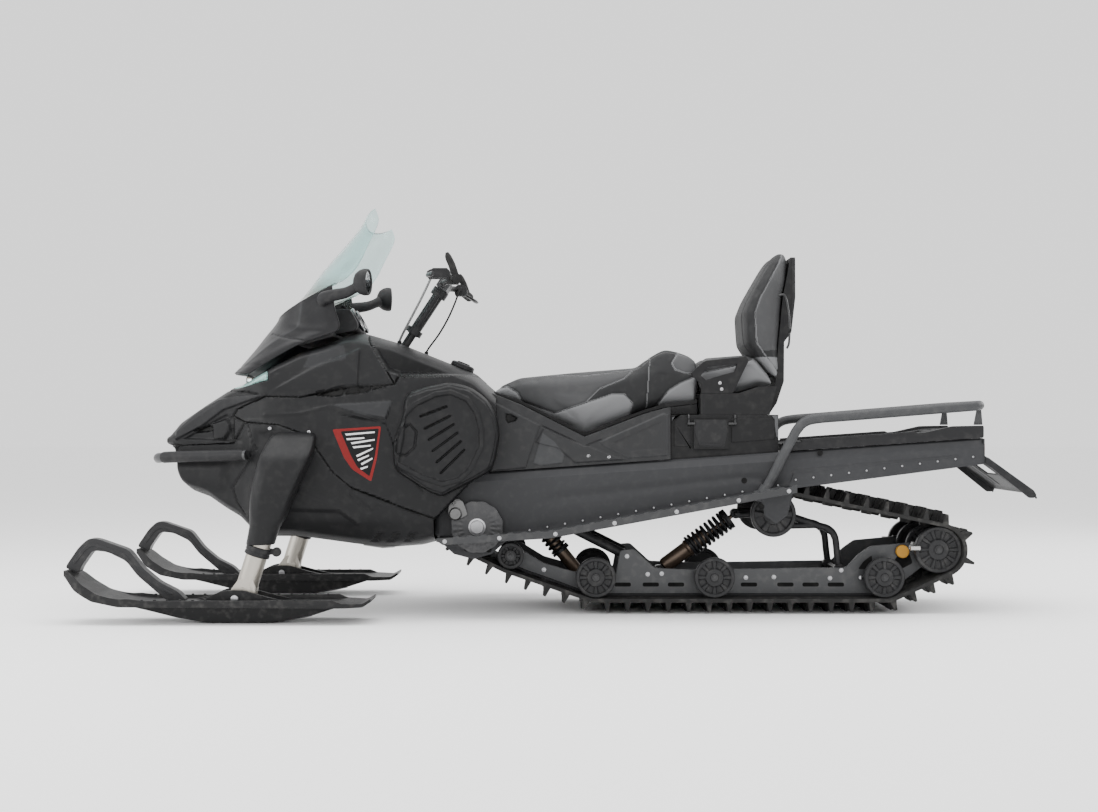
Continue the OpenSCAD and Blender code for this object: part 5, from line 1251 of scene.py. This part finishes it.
def housing_net():
    """Sections at rising heights, each a superellipse between a rear and a front edge and out to y: round at the
    sleeve (power 2) and squarer above (power 4), where it spreads on to the belly pan. A crest runs up it."""
    rows = np.array([(262, -46, 46, 404, 496, 2), (268, -48, 48, 402, 498, 2), (312, -48, 54, 400, 499, 2),
                     (330, -50, 58, 392, 500, 2.2), (352, -54, 66, 366, 500, 2.6), (400, -56, 80, 356, 499, 3.2),
                     (460, -62, 91, 350, 496, 3.8), (520, -68, 97, 346, 484, 4.2), (560, -73, 100, 344, 462, 4.4),
                     (600, -66, 98, 340, 418, 4.4), (628, -54, 92, 336, 384, 4), (644, -30, 70, 330, 350, 3)])
    z, back, front, inner, outer, power = bend_through(rows, 5).T[:, :, None]
    t = np.linspace(0, 2 * np.pi, 88, endpoint=False)[None]
    c, s = np.cos(t), np.sin(t)
    long, deep = np.sign(c) * abs(c) ** (2 / power), np.sign(s) * abs(s) ** (2 / power)
    x = leg_at(z) + (front + back) / 2 + long * (front - back) / 2
    y = (inner + outer) / 2 + deep * (outer - inner) / 2
    crest = ramp(z, 330, 400) * ramp(640 - z, 0, 80)
    y += crest * (deep > 0) * (4 * np.exp(-((long - 0.35) / 0.2) ** 2) - 7 * np.exp(-((long + 0.55) / 0.3) ** 2))
    return np.stack([x, y, z + 0 * x], -1)


housing = housing_net()
housing_faces = grid_quads(*housing.shape[:2], round_cols=True).tolist()
housing_faces.append(list(range(housing.shape[1] * (housing.shape[0] - 1), housing.shape[1] * housing.shape[0])))
make("fork_housing_shells", *both_sides((housing, housing_faces)), "chassis", "body_plastic", body_satin,
     ["fork_housings"], crease=28)
housing_bolt = turned([(0, 6), (2.5, 6), (3.5, 4.6), (3.5, 2.6), (1.5, 2.4), (1.5, 0)], (0, 0, 0), 12)
housing_bolts = copies(housing_bolt, [(866, 356, 640), (1000, 356, 652)])
make("housing_bolts", *both_sides(housing_bolts), "chassis", "steel", plated)
leg_silver = finish("leg_warm_grey_anodised", (0.40, 0.375, 0.33), 0.33, metal=0.75, grain=260, depth=0.02, spread=0.06,
                    dust=0.15)


def leaning(profile, sides=40):
    """A turned part on the leg's own line: (height, radius) pairs."""
    low, top = (float(leg_at(0)), leg_y, 0), (float(leg_at(1000)), leg_y, 1000)
    heights, radii = np.asarray(profile, float).T
    turn = np.linspace(0, 2 * np.pi, sides, endpoint=False)
    way = np.subtract(top, low) / np.linalg.norm(np.subtract(top, low))
    side = np.array([0, 1.0, 0])
    third = np.cross(side, way)
    ring = np.cos(turn)[:, None] * side + np.sin(turn)[:, None] * third
    centre = np.stack([leg_at(heights), 0 * heights + leg_y, heights], -1)
    return centre[:, None] + radii[:, None, None] * ring[None], tube_faces(len(heights), sides)


for side, label in ((1, "left"), (-1, "right")):
    tube = leaning([(116, 33), (118, 36), (221, 36), (256, 36), (456, 36), (458, 34)])
    foot = slab(rounded([(1030, 73.5), (1120, 73.5), (1116, 100), (1098, 126), (1080, 150), (1034, 150), (1026, 120)],
                        9), 417, 483)
    webs = [slab(rounded([(1040, 84), (1072, 84), (1062, 122), (1040, 124)], 5), *faces_at)
            for faces_at in ((412, 416.9), (483.1, 486))]
    collar_x = float(leg_at(240))
    eye = turned([(-7, 7), (-8, 9), (-8, 14), (-6, 16), (6, 16), (8, 14), (8, 9), (7, 7)],
                 (collar_x - 62, leg_y, 236), 24)
    eye_arm = slab([(collar_x - 34, 228), (collar_x - 34, 250), (collar_x - 50, 246), (collar_x - 50, 227)],
                   leg_y - 7, leg_y + 7)
    collar = leaning([(223, 40), (225, 43), (233, 43), (234, 41.5), (238, 41.5), (239, 43), (252, 43), (254, 40)])
    pin = turned([(-61, 9), (-61, 12), (-55, 12), (-54, 8), (54, 8), (55, 13), (62, 13), (64, 9)],
                 (1090, leg_y, 84), 12)
    flip = np.array([1, side, 1])
    make(f"fork_tube_{label}", tube[0].reshape(-1, 3) * flip, tube[1], f"ski_{label}", "bright_tube", leg_silver,
         [f"fork_leg_{label}"])
    spots, faces = together(foot, *webs)
    make(f"leg_foot_{label}", spots * flip, faces, f"ski_{label}", "bright_tube", leg_silver, soften=2)
    spots, faces = together(collar, eye, eye_arm)
    make(f"leg_collar_{label}", spots * flip, faces, f"ski_{label}", "black_metal", arm_black, soften=0.8)
    make(f"ski_bolt_{label}", pin[0].reshape(-1, 3) * flip, pin[1], f"ski_{label}", "steel", plated, soften=0.8)

# ---- Skis ----
# Wide moulded plastic skis with a keel, raised edge ribs and a steel runner, each with a bent loop bolted over
# its turned-up tip. The leg's foot sits between two cheeks that carry the bolt.
ski_black = finish("ski_black_plastic", (0.0115, 0.0115, 0.012), 0.42, grain=700, depth=0.06, spread=0.12, dust=0.35)


def ski_net():
    """Stations along x, and round the section: over the top, down the edge and back under. The bottom drops to
    the keel within 46 of the middle with 8 wide flanks, and ribs rise where the top is 88 to 98 out."""
    x = np.linspace(634, 1662, 180)[:, None]
    top = soft_along(x, [(632, 88), (662, 70), (720, 72), (1380, 72), (1470, 82), (1545, 104), (1596, 136), (1626, 164),
                         (1650, 177), (1665, 178)], 7)
    low = soft_along(x, [(632, 78), (661, 57), (738, 55), (1470, 59), (1560, 76), (1624, 112), (1665, 163)], 7)
    keel = np.minimum(low, soft_along(x, [(632, 90), (738, 56), (839, 24), (971, 0.6), (1187, 0.6), (1288, 17),
                                          (1381, 40), (1466, 60), (1480, 100), (1665, 200)], 9))
    half = soft_along(x, [(632, 78), (720, 100), (1460, 100), (1600, 85), (1665, 50)], 12)
    rib = along(x, [(632, 0), (730, 0), (760, 12), (1440, 10), (1500, 1), (1520, 0), (1665, 0)]) + 0 * x
    spots = []
    for y, kind in ((0, 0), (20, 0), (38, 0), (60, 0), (84, 0), (87, 1), (89, 1), (96, 1), (98, 1), (100, 2), (100, 3),
                    (97, 4), (80, 4), (56, 4), (48, 4), (42, 5), (24, 5), (0, 5)):
        across = half * y / 100
        z = {0: top + 0 * x, 1: top + rib * (0 if y == 87 else 1), 2: top + rib * 0.75, 3: (top + low) / 2,
             4: low + (1.5 if y == 97 else 0), 5: np.minimum(low, keel + (4 if y == 42 else 0))}[kind]
        spots.append(np.stack([x, across + 0 * x, z + 0 * x], -1)[:, 0])
    one = np.stack(spots, 1)
    other = one[:, -2:0:-1] * [1, -1, 1]
    return np.concatenate([one, other], 1)


ski_shape = ski_net()
ski_faces = tube_faces(*ski_shape.shape[:2])
cheek = slab(rounded([(1250, 70), (1180, 88), (1145, 106), (1118, 112), (1062, 112), (1036, 104), (985, 90), (900, 70)],
                     14), 40, 54)
knob = turned([(0, 5), (3, 5), (5, 3.4), (5, 0)], (0, 0, 0), 10, "z")
knobs = copies(knob, [(a, 93, 80) for a in range(800, 1010, 42)] + [(a, 93, 81) for a in range(1180, 1420, 42)])
runner_line = [(840, 0, 24), (905, 0, 11), (971, 0, 5.4), (1187, 0, 5.4), (1288, 0, 20), (1370, 0, 37)]
runner = sweep(bend_through(runner_line, 5), ring_shape(4, 10))
loop_line = rounded([(1660, 182), (1664, 190), (1621, 253), (1588, 283), (1560, 283), (1454, 246), (1404, 182),
                     (1350, 137), (1288, 106), (1257, 73), (1322, 73), (1350, 96), (1423, 158), (1462, 208),
                     (1524, 238), (1574, 243), (1613, 187), (1618, 172), (1626, 169), (1649, 179)], 16, 5)
loop_black = finish("loop_black_plastic", (0.022, 0.022, 0.023), 0.36, grain=900, depth=0.04, spread=0.1, dust=0.2)
for side, label in ((1, "left"), (-1, "right")):
    spots, faces = together((ski_shape, ski_faces), both_sides(cheek), both_sides(knobs))
    make(f"ski_moulding_{label}", spots + [0, leg_y * side, 0], faces, f"ski_{label}", "black_plastic", ski_black,
         [f"ski_{label}"], soften=1)
    make(f"ski_runner_{label}", runner[0].reshape(-1, 3) + [0, leg_y * side, 0], runner[1], f"ski_{label}", "steel",
         plated)
    hoop = slab(loop_line, -24, 24)
    rail = slab(rounded([(1640, 205), (1606, 252), (1582, 268), (1560, 266), (1466, 234), (1416, 172), (1350, 124),
                         (1300, 98), (1308, 92), (1350, 112), (1424, 165), (1472, 222), (1562, 254), (1578, 256),
                         (1596, 244), (1634, 194)], 8), -26, 26)
    spots, faces = together(hoop, rail)
    make(f"ski_loop_hoop_{label}", spots + [0, leg_y * side, 0], faces, f"ski_{label}", "black_plastic", loop_black,
         [f"ski_loop_{label}"], soften=4, crease=40)

# ---- Handlebar and cables ----
# A bent steel bar is clamped to the column's riser. It carries ribbed grips with upright hooks, a brake lever
# and master cylinder on the left and a thumb throttle on the right. A hose and a cable drop to the console.
bar_half = [(-70, 385, -10), (-50, 257, 3), (-45, 229, 6), (-36, 196, 5), (-10, 128, 1), (-2, 112, 0), (0, 60, 0)]
hub = np.array([425.2, 0, 1173.6])
bar_path = bend_through([(x, -y, z) for x, y, z in bar_half] + [(0, 0, 0)] + bar_half[::-1], 8) + hub
make("handlebar_tube", *sweep(bar_path, ring_shape(11.2, 20)), "steering", "black_metal", arm_black, ["handlebar"])
grip_rubber = finish("grip_black_rubber", (0.010, 0.010, 0.010), 0.62, grain=900, depth=0.12, dust=0.2)
grip_path = np.linspace((-71, 387, -10), (-50.5, 260, 2), 66) + hub
ribs = 16.0 + 1.0 * (np.arange(66) % 4 < 2)
ribs[:2], ribs[-3:] = [14.5, 16.8], [17, 17, 15]
hook = tapered(bend_through([(-64, 377, 2), (-57, 378, 20), (-50, 378, 40), (-40, 379, 62), (-34, 379, 80)], 6) + hub,
               [11, 12.3, 12.4, 12.4, 12.2, 12, 10, 5])
grips = together(tapered(grip_path, ribs, 28), hook)
make("grips", *both_sides(grips), "steering", "grip_rubber", grip_rubber, crease=50)
clamp = slab(rounded([(-22, -17.5), (22, -17.5), (22, 19), (-22, 19)], 6), -60, 60)
strap = slab(rounded([(-15, 19), (15, 19), (13, 25), (-13, 25)], 3), -50, -22)
clamps = together(clamp, strap, (strap[0] * [1, -1, 1], strap[1]))
c, s = np.cos(np.radians(33.39)), np.sin(np.radians(33.39))
clamp_spots = np.stack([clamps[0][:, 0] * c - clamps[0][:, 2] * s, clamps[0][:, 1],
                        clamps[0][:, 0] * s + clamps[0][:, 2] * c], -1) + hub
make("bar_clamp", clamp_spots, clamps[1], "steering", "alloy", rail_metal, soften=2)
tank = slab(rounded([(-36, 12), (-20, 8), (46, 8), (46, 30), (30, 38), (-30, 38), (-36, 30)], 6), 171, 243)
lid = slab(rounded([(-28, 38.2), (28, 38.2), (26, 42), (-26, 42)], 2), 178, 236)
brake_lever = tapered(bend_through([(16, 200, 20), (26, 222, 20), (40, 250, 16), (40, 276, 13), (28, 312, 12),
                                    (16, 345, 12)], 6), [7, 7, 6.5, 6, 6, 6.5, 7.5, 6], 14, 1.3)
throttle = slab(rounded([(-72, -22), (-28, -22), (-24, 10), (-40, 22), (-66, 20), (-74, 0)], 7), -209, -175)
thumb = tapered(bend_through([(-60, -199, -14), (-80, -214, -24), (-96, -236, -34), (-106, -264, -40)], 6),
                [8, 7, 7, 8, 9, 7], 14, 0.7)
switch = slab(rounded([(-66, -16), (-26, -16), (-22, 14), (-58, 20), (-68, 8)], 6), 214, 246)
blocks = together(tank, lid, throttle, switch)
make("control_blocks", blocks[0] + hub, blocks[1], "steering", "black_plastic", moulded, soften=2)
levers = together(brake_lever, thumb)
make("levers", levers[0] + hub, levers[1], "steering", "black_metal", cap_black)
hose_line = bend_through([(455.6, 167.5, 1195.4), (462, 152, 1190), (478, 134, 1160), (506, 112, 1108), (540, 84, 1050),
                          (572, 56, 996), (586, 42, 969)], 4)
cable_line = bend_through([(376, -172.7, 1171.4), (382, -158, 1164), (396, -136, 1120), (420, -108, 1060),
                           (452, -80, 1000), (484, -62, 954), (496, -56, 934)], 4)
hose_grey = finish("braided_hose_grey", (0.20, 0.20, 0.20), 0.38, metal=0.5, grain=1500, depth=0.15, spread=0.3)
hose = make("brake_hose", *sweep(hose_line, ring_shape(4.4, 12)), None, "steel", hose_grey, ["control_cables"])
cable = make("throttle_cable", *sweep(cable_line, ring_shape(3.4, 12)), None, "black_plastic", dark_plug)
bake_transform(hose)
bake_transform(cable)
ferrules = together(turned([(0, 0), (0, 8), (16, 8), (18, 6), (18, 0)], (586, 42, 952), 16, "z"),
                    turned([(0, 0), (0, 7), (14, 7), (16, 5), (16, 0)], (496, -56, 920), 16, "z"))
make("cable_ferrules", *ferrules, "chassis", "black_plastic", dark_plug)

# ---- Foot covers, storage box and seat base ----
# Moulded plastic covers close the space between the tunnel and the driver's seat: a knee panel with a vent, a
# diagonal brace and two fillers, bolted on. Behind them stands the moulded storage box, and the passenger
# seat's base latches over it with a lever and two wire bails.
cover_top = [(246, 776), (140, 734), (-84, 621), (-292, 701), (-371, 723), (-384, 725)]
knee_panel = [(246, 752), (70, 664), (122, 512), (246, 500)]
knee_vent = [(196, 706), (176, 704), (150, 690), (158, 676), (186, 668), (196, 682)]
brace = [(62, 658), (-44, 612), (-236, 541), (-50, 528), (14, 582), (92, 600)]
small_filler = [(66, 640), (20, 606), (-14, 560), (-6, 530), (70, 520), (100, 530)]
rear_filler = [(-130, 606), (-150, 590), (-236, 545), (-376, 556), (-376, 702), (-360, 708)]
# Its tone zones: tone 0.3 to 0.7 is the near black of painted shade; tone -0.3 to -1.0 is the paler grey of a painted
# highlight, also used for the paler small filler.
cover_grey = finish("cover_grey_plastic", (0.022, 0.0222, 0.0232), 0.44, grain=1200, depth=0.04, spread=0.08, dust=0.12,
                    zones=[(0.3, 0.7, (0.004, 0.004, 0.004)), (-0.3, -1.0, (0.040, 0.041, 0.043))])


def foot_cover_net():
    """Net over x and height: each outline's inside stands out by its own few millimetres behind a 6 wide slope,
    the vent is sunk, and the last rows turn in over the top under the seat."""
    x = np.linspace(246, -384, 170)[:, None]
    s = np.linspace(0, 1, 74)[None]
    low, top = tunnel_roof(x) + 2.5, np.maximum(soft_along(x, cover_top, 3), tunnel_roof(x) + 12)
    z = low + (top - low) * s
    y = 252 + 5.5 * ramp(depth_in(x + 0 * s, z, knee_panel), 0, 6) - 11 * ramp(depth_in(x + 0 * s, z, knee_vent), 0, 5)
    y += 5.8 * ramp(depth_in(x + 0 * s, z, brace), 0, 7) + 2.5 * ramp(depth_in(x + 0 * s, z, small_filler), 0, 5)
    y += 4 * ramp(depth_in(x + 0 * s, z, rear_filler), 0, 6) - 2.2 * ramp(depth_in(x + 0 * s, z, rear_filler), 22, 30)
    y -= 3 * ramp(seam_distance(x + 0 * s, z, [[(66, 660), (-84, 590), (-140, 612)], [(-384, 722), (-388, 500)]]), 4, 1)
    for bolt in ((-96, 556), (-168, 552)):
        far = np.hypot(x - bolt[0], z - bolt[1])
        y += 1.5 * ramp(far, 11, 8) - 5 * ramp(far, 6, 4)
    # Tone: painted shade in the sunk knee vent, a painted highlight along the rear filler's raised edge, and the small
    # filler painted paler all over.
    tone = ramp(depth_in(x + 0 * s, z, knee_vent), 1, 4) - 0.9 * ramp(depth_in(x + 0 * s, z, small_filler), 0, 3)
    tone -= 0.6 * ramp(6 - abs(depth_in(x + 0 * s, z, rear_filler) - 4), 0, 4)
    side = np.stack([x + 0 * s, np.minimum(y, 258.4), z], -1)
    lid = side[:, -1:] + np.array([[[0, -3, 1.5]], [[0, -70, 1.5]], [[0, -140, 1.5]]]).reshape(1, 3, 3)
    return np.concatenate([side, lid], 1), np.concatenate([tone, 0 * tone[:, :3]], 1)


foot_net, foot_shade_and_highlight = foot_cover_net()
for side, label in ((1, "left"), (-1, "right")):
    make(f"foot_cover_{label}", foot_net * [1, side, 1], grid_quads(*foot_net.shape[:2]), "chassis", "body_plastic",
         cover_grey, ["foot_covers"], inside=(-80, 0, 560), tones=foot_shade_and_highlight, crease=30)
socket = turned([(0, 0), (-3, 0), (-3, 4), (0, 5), (1, 7), (3, 7.5), (3.6, 6.5), (3.6, 4.4), (1, 4)], (0, 253.5, 0), 20)
make("cover_bolts", *both_sides(copies(socket, [(-96, 0, 556), (-168, 0, 552)])), "chassis", "steel", plated)
box_black = finish("box_black_plastic", (0.0095, 0.0095, 0.010), 0.42, grain=1300, depth=0.06, spread=0.1, dust=0.12)
trim_grey = finish("trim_grey_plastic", (0.070, 0.071, 0.074), 0.5, grain=1100, depth=0.03, spread=0.08, dust=0.1)
keep_shape(box_black, "storage_box", "seat_base", "grab_handles")
box_panel = slab(rounded([(-398, 588), (-398, 676), (-412, 690), (-455, 690), (-455, 574), (-455, 588)], 5), 222, 227)
rear_panel = slab(rounded([(-600, 602), (-600, 688), (-742, 688), (-752, 678), (-752, 614)], 6), 222, 227)
front_trim = slab([(-390, 690), (-390, 676), (-402, 696), (-416, 699)], 223, 229)
rear_trim = slab(rounded([(-741, 697), (-763, 697), (-764, 640), (-764, 618), (-758, 622), (-752, 660),
                          (-752, 684)], 3), 223, 228)
make("box_side_panels", *both_sides(together(box_panel, rear_panel)), "chassis", "black_plastic", box_black, soften=1.5)
make("box_trim", *both_sides(together(front_trim, rear_trim)), "chassis", "body_plastic", trim_grey, soften=1)
lever = slab(rounded([(-474, 682), (-580, 682), (-584, 640), (-572, 584), (-488, 588), (-470, 640)], 8), 234, 240.5)
lever_rib = slab(rounded([(-482, 600), (-566, 598), (-562, 590), (-486, 592)], 3), 238, 243)
bails = [sweep(bend_through([(x, 226, 664), (x, 238, 668), (x, 240, 690), (x, 232, 699)], 6), ring_shape(4, 12))
         for x in (-449, -611)]
bars = [sweep([(-444, 240, 668), (-470, 240, 668)], ring_shape(5, 14)), sweep([(-588, 240, 668), (-616, 240, 668)],
                                                                               ring_shape(5, 14))]
make("box_latch", *together(lever, lever_rib), "chassis", "black_plastic", moulded, soften=1.5)
make("latch_bails", *together(*bails, *bars), "chassis", "black_metal", cap_black)
shell_rim = slab(rounded([(-824, 1258), (-836.5, 1258), (-837, 1120), (-823, 996), (-818, 996),
                          (-826, 1120)], 3), -151, 151)
hooks = [sweep(bend_through([(-770, y, 1122), (-792, y, 1118), (-806, y, 1040), (-806, y, 960), (-798, y, 934)],
                            5), ring_shape(4, 12)) for y in (205, -205)]
make("backrest_rim", *shell_rim, "passenger_seat", "black_plastic", moulded, soften=2)
make("backrest_hooks", *together(*hooks), "passenger_seat", "black_metal", cap_black)
handle_screws = copies(turned([(0, 6), (2, 6), (3, 4.6), (3, 2.4), (1, 2)], (0, 220, 0), 12),
                       [(-560, 0, 812), (-566, 0, 790)])
make("handle_screws", *both_sides(handle_screws), "passenger_seat", "steel", plated)

# ---- Seats ----
# Three foam pads under stretched vinyl in three greys. Each starts a little small, is voxel remeshed and blown up
# by a short cloth simulation until its skin crowns, and gets its sewn seams last.
seat_vinyl = finish("seat_vinyl", (0.048, 0.0485, 0.050), 0.54, grain=820, depth=0.16, spread=0.10, dust=0.1,
                    zones=[(0.25, 0.75, (0.150, 0.152, 0.156)), (-0.25, -0.75, (0.017, 0.0172, 0.018)),
                           (1.4, 1.8, (0.006, 0.006, 0.006))])


def pad_body(x, low, top, half, side_limit=None, power=5.0):
    """Stations along x, each a superellipse of the given power between the heights low and top, `half` wide and held
    inside side_limit(z)."""
    t = np.linspace(0, 2 * np.pi, 96, endpoint=False)[None]
    c, s = np.cos(t), np.sin(t)
    wide = np.sign(c) * abs(c) ** (2 / power) * half[:, None]
    z = ((top + low) / 2)[:, None] + np.sign(s) * abs(s) ** (2 / power) * ((top - low) / 2)[:, None]
    if side_limit:
        limit = along(z, side_limit)
        wide = np.sign(wide) * np.minimum(abs(wide), limit)
    net = np.stack([x[:, None] + 0 * wide, wide, z], -1)
    return net, tube_faces(*net.shape[:2])


def stuffed(name, part, body, nodes, voxel, grow, seams, tone_of, keep_in):
    """Makes a pad: remesh, cloth pressure 4 without gravity for 20 frames, no point moved more than `grow`, held
    inside the box keep_in, one subdivision, then seams sunk by 3 in a bell curve 5 wide across each line."""
    raw = bpy.data.meshes.new(name + "_raw")
    raw.from_pydata((np.asarray(part[0], float).reshape(-1, 3) * 0.001).tolist(), [], [list(f) for f in part[1]])
    pad = bpy.data.objects.new(name, raw)
    bpy.context.scene.collection.objects.link(pad)
    shrink = pad.modifiers.new("voxels", "REMESH")
    shrink.mode, shrink.voxel_size = "VOXEL", voxel
    even = pad.modifiers.new("even", "SMOOTH")
    even.factor, even.iterations = 0.5, 4
    mesh = bpy.data.meshes.new_from_object(pad.evaluated_get(bpy.context.evaluated_depsgraph_get()))
    pad.modifiers.clear()
    pad.data = mesh
    start = np.empty(len(mesh.vertices) * 3)
    mesh.vertices.foreach_get("co", start)
    start = start.reshape(-1, 3)
    cloth = pad.modifiers.new("cloth", "CLOTH")
    cloth.settings.use_pressure, cloth.settings.uniform_pressure_force = True, 4
    cloth.settings.effector_weights.gravity = 0
    cloth.settings.tension_stiffness = cloth.settings.compression_stiffness = 18
    cloth.settings.quality = 4
    cloth.point_cache.frame_start, cloth.point_cache.frame_end = 1, 20
    for step in range(1, 21):
        bpy.context.scene.frame_set(step)
    blown = pad.evaluated_get(bpy.context.evaluated_depsgraph_get()).to_mesh()
    spots = np.empty(len(blown.vertices) * 3)
    blown.vertices.foreach_get("co", spots)
    move = spots.reshape(-1, 3) - start
    far = np.linalg.norm(move, axis=1, keepdims=True)
    start = start + move * np.minimum(1, grow / np.maximum(far, 1e-9))
    pad.modifiers.clear()
    bpy.context.scene.frame_set(1)
    lowest, highest = np.asarray(keep_in, float) * 0.001
    mesh.vertices.foreach_set("co", np.clip(start, lowest, highest).ravel())
    fine = pad.modifiers.new("fine", "SUBSURF")
    fine.levels = fine.render_levels = 1
    final = bpy.data.meshes.new_from_object(pad.evaluated_get(bpy.context.evaluated_depsgraph_get()))
    final.name = name
    pad.modifiers.clear()
    pad.data = final
    count = len(final.vertices)
    spots, ways = np.empty(count * 3), np.empty(count * 3)
    final.vertices.foreach_get("co", spots)
    final.vertex_normals.foreach_get("vector", ways)
    spots, ways = spots.reshape(-1, 3) * 1000, ways.reshape(-1, 3)
    near = seams(spots)
    spots = spots - ways * (3.0 * np.exp(-(near / 5) ** 2))[:, None]
    final.vertices.foreach_set("co", (spots * 0.001).ravel())
    tone = final.attributes.new("tone", "FLOAT", "POINT")
    tone.data.foreach_set("value", np.where(near < 1.6, 2.0, tone_of(spots)).astype(np.float32))
    final.materials.clear()
    final.materials.append(seat_vinyl)
    final.shade_smooth()
    final.update()
    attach(pad, body)
    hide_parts(*nodes)
    return pad


driver_x = np.linspace(250, -484, 120)
driver_top = soft_along(driver_x, [(262, 778), (203, 802), (149, 826), (-45, 845), (-275, 863), (-325, 902),
                                   (-373, 929), (-459, 914), (-487, 898)], 14)
driver_low = soft_along(driver_x, [(258, 776), (248, 781), (140, 740), (-84, 628), (-292, 708), (-371, 730),
                                   (-487, 743)], 5)
driver_half = soft_along(driver_x, [(260, 90), (60, 154), (-300, 165), (-487, 167)], 20)
light_patch = [(270, 790), (195, 804), (155, 779), (138, 747), (23, 705), (-180, 774), (-225, 776), (-256, 740),
               (-246, 684), (-101, 600), (270, 740)]
dark_patch = [(-318, 915), (-225, 830), (-136, 792), (-92, 747), (-180, 774), (-225, 776), (-256, 740), (-246, 684),
              (-300, 680), (-500, 730), (-500, 960), (-330, 960)]
bolster_light = [(-330, 700), (-352, 745), (-385, 788), (-430, 816), (-500, 845), (-500, 725), (-371, 716)]
bolster_mid = [(-420, 925), (-396, 886), (-406, 862), (-440, 850), (-500, 845), (-500, 930)]
pan = slab([(250, 786), (248, 779), (140, 738), (-84, 624), (-292, 704.5), (-371, 726.5), (-486, 740), (-486, 754),
            (-371, 740), (-292, 716), (-84, 636), (140, 750)], -158, 158)
block = slab([(-389, 702), (-485, 702), (-485, 738), (-389, 727)], -170, 170)
make("seat_pan", *together(pan, block), "chassis", "black_plastic", box_black, soften=1)


def driver_seams(p):
    """Distance to the sewn lines: the borders of the light and dark patches on the flanks, one cross seam ahead of
    the rear bolster, and a line along each shoulder."""
    flank = np.where(abs(p[:, 1]) > 60, seam_distance(p[:, 0], p[:, 2], [light_patch + light_patch[:1],
                                                                       dark_patch[:4], bolster_light[:5],
                                                                       bolster_mid[:5]]), 99)
    cross = abs(p[:, 0] + 318 - 0.07 * (905 - p[:, 2]))
    shoulder = np.where((p[:, 0] < 150) & (p[:, 2] > 800), abs(abs(p[:, 1]) - along(p[:, 0], [(150, 84), (-100, 116),
                                                                              (-487, 122)])), 99)
    return np.minimum(np.minimum(flank, cross), shoulder)


def driver_tone(p):
    """1 in the light patch, -1 in the dark one, 0 elsewhere; the top between the shoulders stays mid grey."""
    outer = abs(p[:, 1]) > 60
    light = inside_of(p[:, 0], p[:, 2], light_patch) & (outer | (p[:, 0] > 160))
    pale = inside_of(p[:, 0], p[:, 2], bolster_light) & outer
    mid = inside_of(p[:, 0], p[:, 2], bolster_mid)
    dark = inside_of(p[:, 0], p[:, 2], dark_patch) & ~pale & ~mid
    return np.where(light | pale, 1.0, 0) - np.where(dark, 1.0, 0) + np.where(mid, 0.3, 0)


stuffed("driver_seat_pad", pad_body(driver_x, driver_low, driver_top, driver_half,
                                    [(600, 165), (836, 167), (926, 134), (950, 104)]), "chassis", ["driver_seat"],
        0.007, 0.008, driver_seams, driver_tone, ((-488, -174, 619), (262, 174, 938)))
rider_x = np.linspace(-497, -752, 60)
rider_top = soft_along(rider_x, [(-490, 896), (-560, 901), (-651, 908), (-690, 900), (-758, 812)], 8)
rider_low = soft_along(rider_x, [(-490, 779), (-627, 781), (-700, 805), (-758, 805)], 8)
rider_half = np.interp(rider_x, [-752, -740, -510, -497], [176, 183, 183, 178])
rider_patch = [(-480, 776), (-480, 846), (-560, 862), (-640, 880), (-690, 905), (-760, 900), (-760, 776)]


def rider_seams(p):
    """Distance to the light patch's border on the flanks and to a line along each shoulder."""
    flank = np.where(abs(p[:, 1]) > 150, seam_distance(p[:, 0], p[:, 2], [rider_patch[1:5]]), 99)
    return np.minimum(flank, np.where(p[:, 2] > 870, abs(abs(p[:, 1]) - 132), 99))


stuffed("passenger_pad", pad_body(rider_x, rider_low, rider_top, rider_half), "passenger_seat", ["passenger_cushion"],
        0.006, 0.007, rider_seams,
        lambda p: np.where(inside_of(p[:, 0], p[:, 2], rider_patch) & (abs(p[:, 1]) > 120), 0.8, 0.1),
        ((-757, -188, 777), (-492, 188, 913)))


def backrest_body():
    """Sections at rising heights between the outline's front and rear edges, each a superellipse of power 4,
    200 to each side at the foot, narrowing to 150 at the top where the corners round over."""
    z = np.linspace(832, 1284, 80)
    front = soft_along(z, [(828, -768), (905, -700), (955, -664), (1062, -656), (1118, -679), (1240, -749),
                           (1274, -772), (1286, -788)], 10)
    back = soft_along(z, [(828, -772), (850, -772), (950, -774), (1120, -788), (1262, -815), (1286, -808)], 6)
    half = soft_along(z, [(820, 178), (850, 186), (1000, 195), (1180, 184), (1250, 158), (1275, 128), (1286, 96)], 6)
    t = np.linspace(0, 2 * np.pi, 96, endpoint=False)[None]
    c, s = np.cos(t), np.sin(t)
    x = ((front + back) / 2)[:, None] + np.sign(c) * abs(c) ** 0.5 * ((front - back) / 2)[:, None]
    net = np.stack([x, np.sign(s) * abs(s) ** 0.5 * half[:, None], z[:, None] + 0 * x], -1)
    return net, tube_faces(80, 96)


def rest_edge(p):
    """How far a point lies behind the front face's edge line, which runs 34 behind the outline's front."""
    return p[:, 0] - soft_along(p[:, 2], [(828, -800), (905, -730), (955, -694), (1062, -688), (1118, -708),
                                          (1240, -776), (1290, -800)], 6)


stuffed("backrest_pad", backrest_body(), "passenger_seat", ["backrest_cushion"], 0.0065, 0.007,
        lambda p: np.minimum(np.where(abs(p[:, 1]) > 90, abs(rest_edge(p)), 99),
                             np.where((rest_edge(p) > 14) & (p[:, 2] > 930), abs(abs(p[:, 1]) - 96), 99)),
        lambda p: np.where((rest_edge(p) > 0) | (p[:, 2] < 930), -0.8, 0.25) + np.where(p[:, 2] < 905, 1.6, 0),
        ((-817, -202, 826), (-650, 202, 1290)))
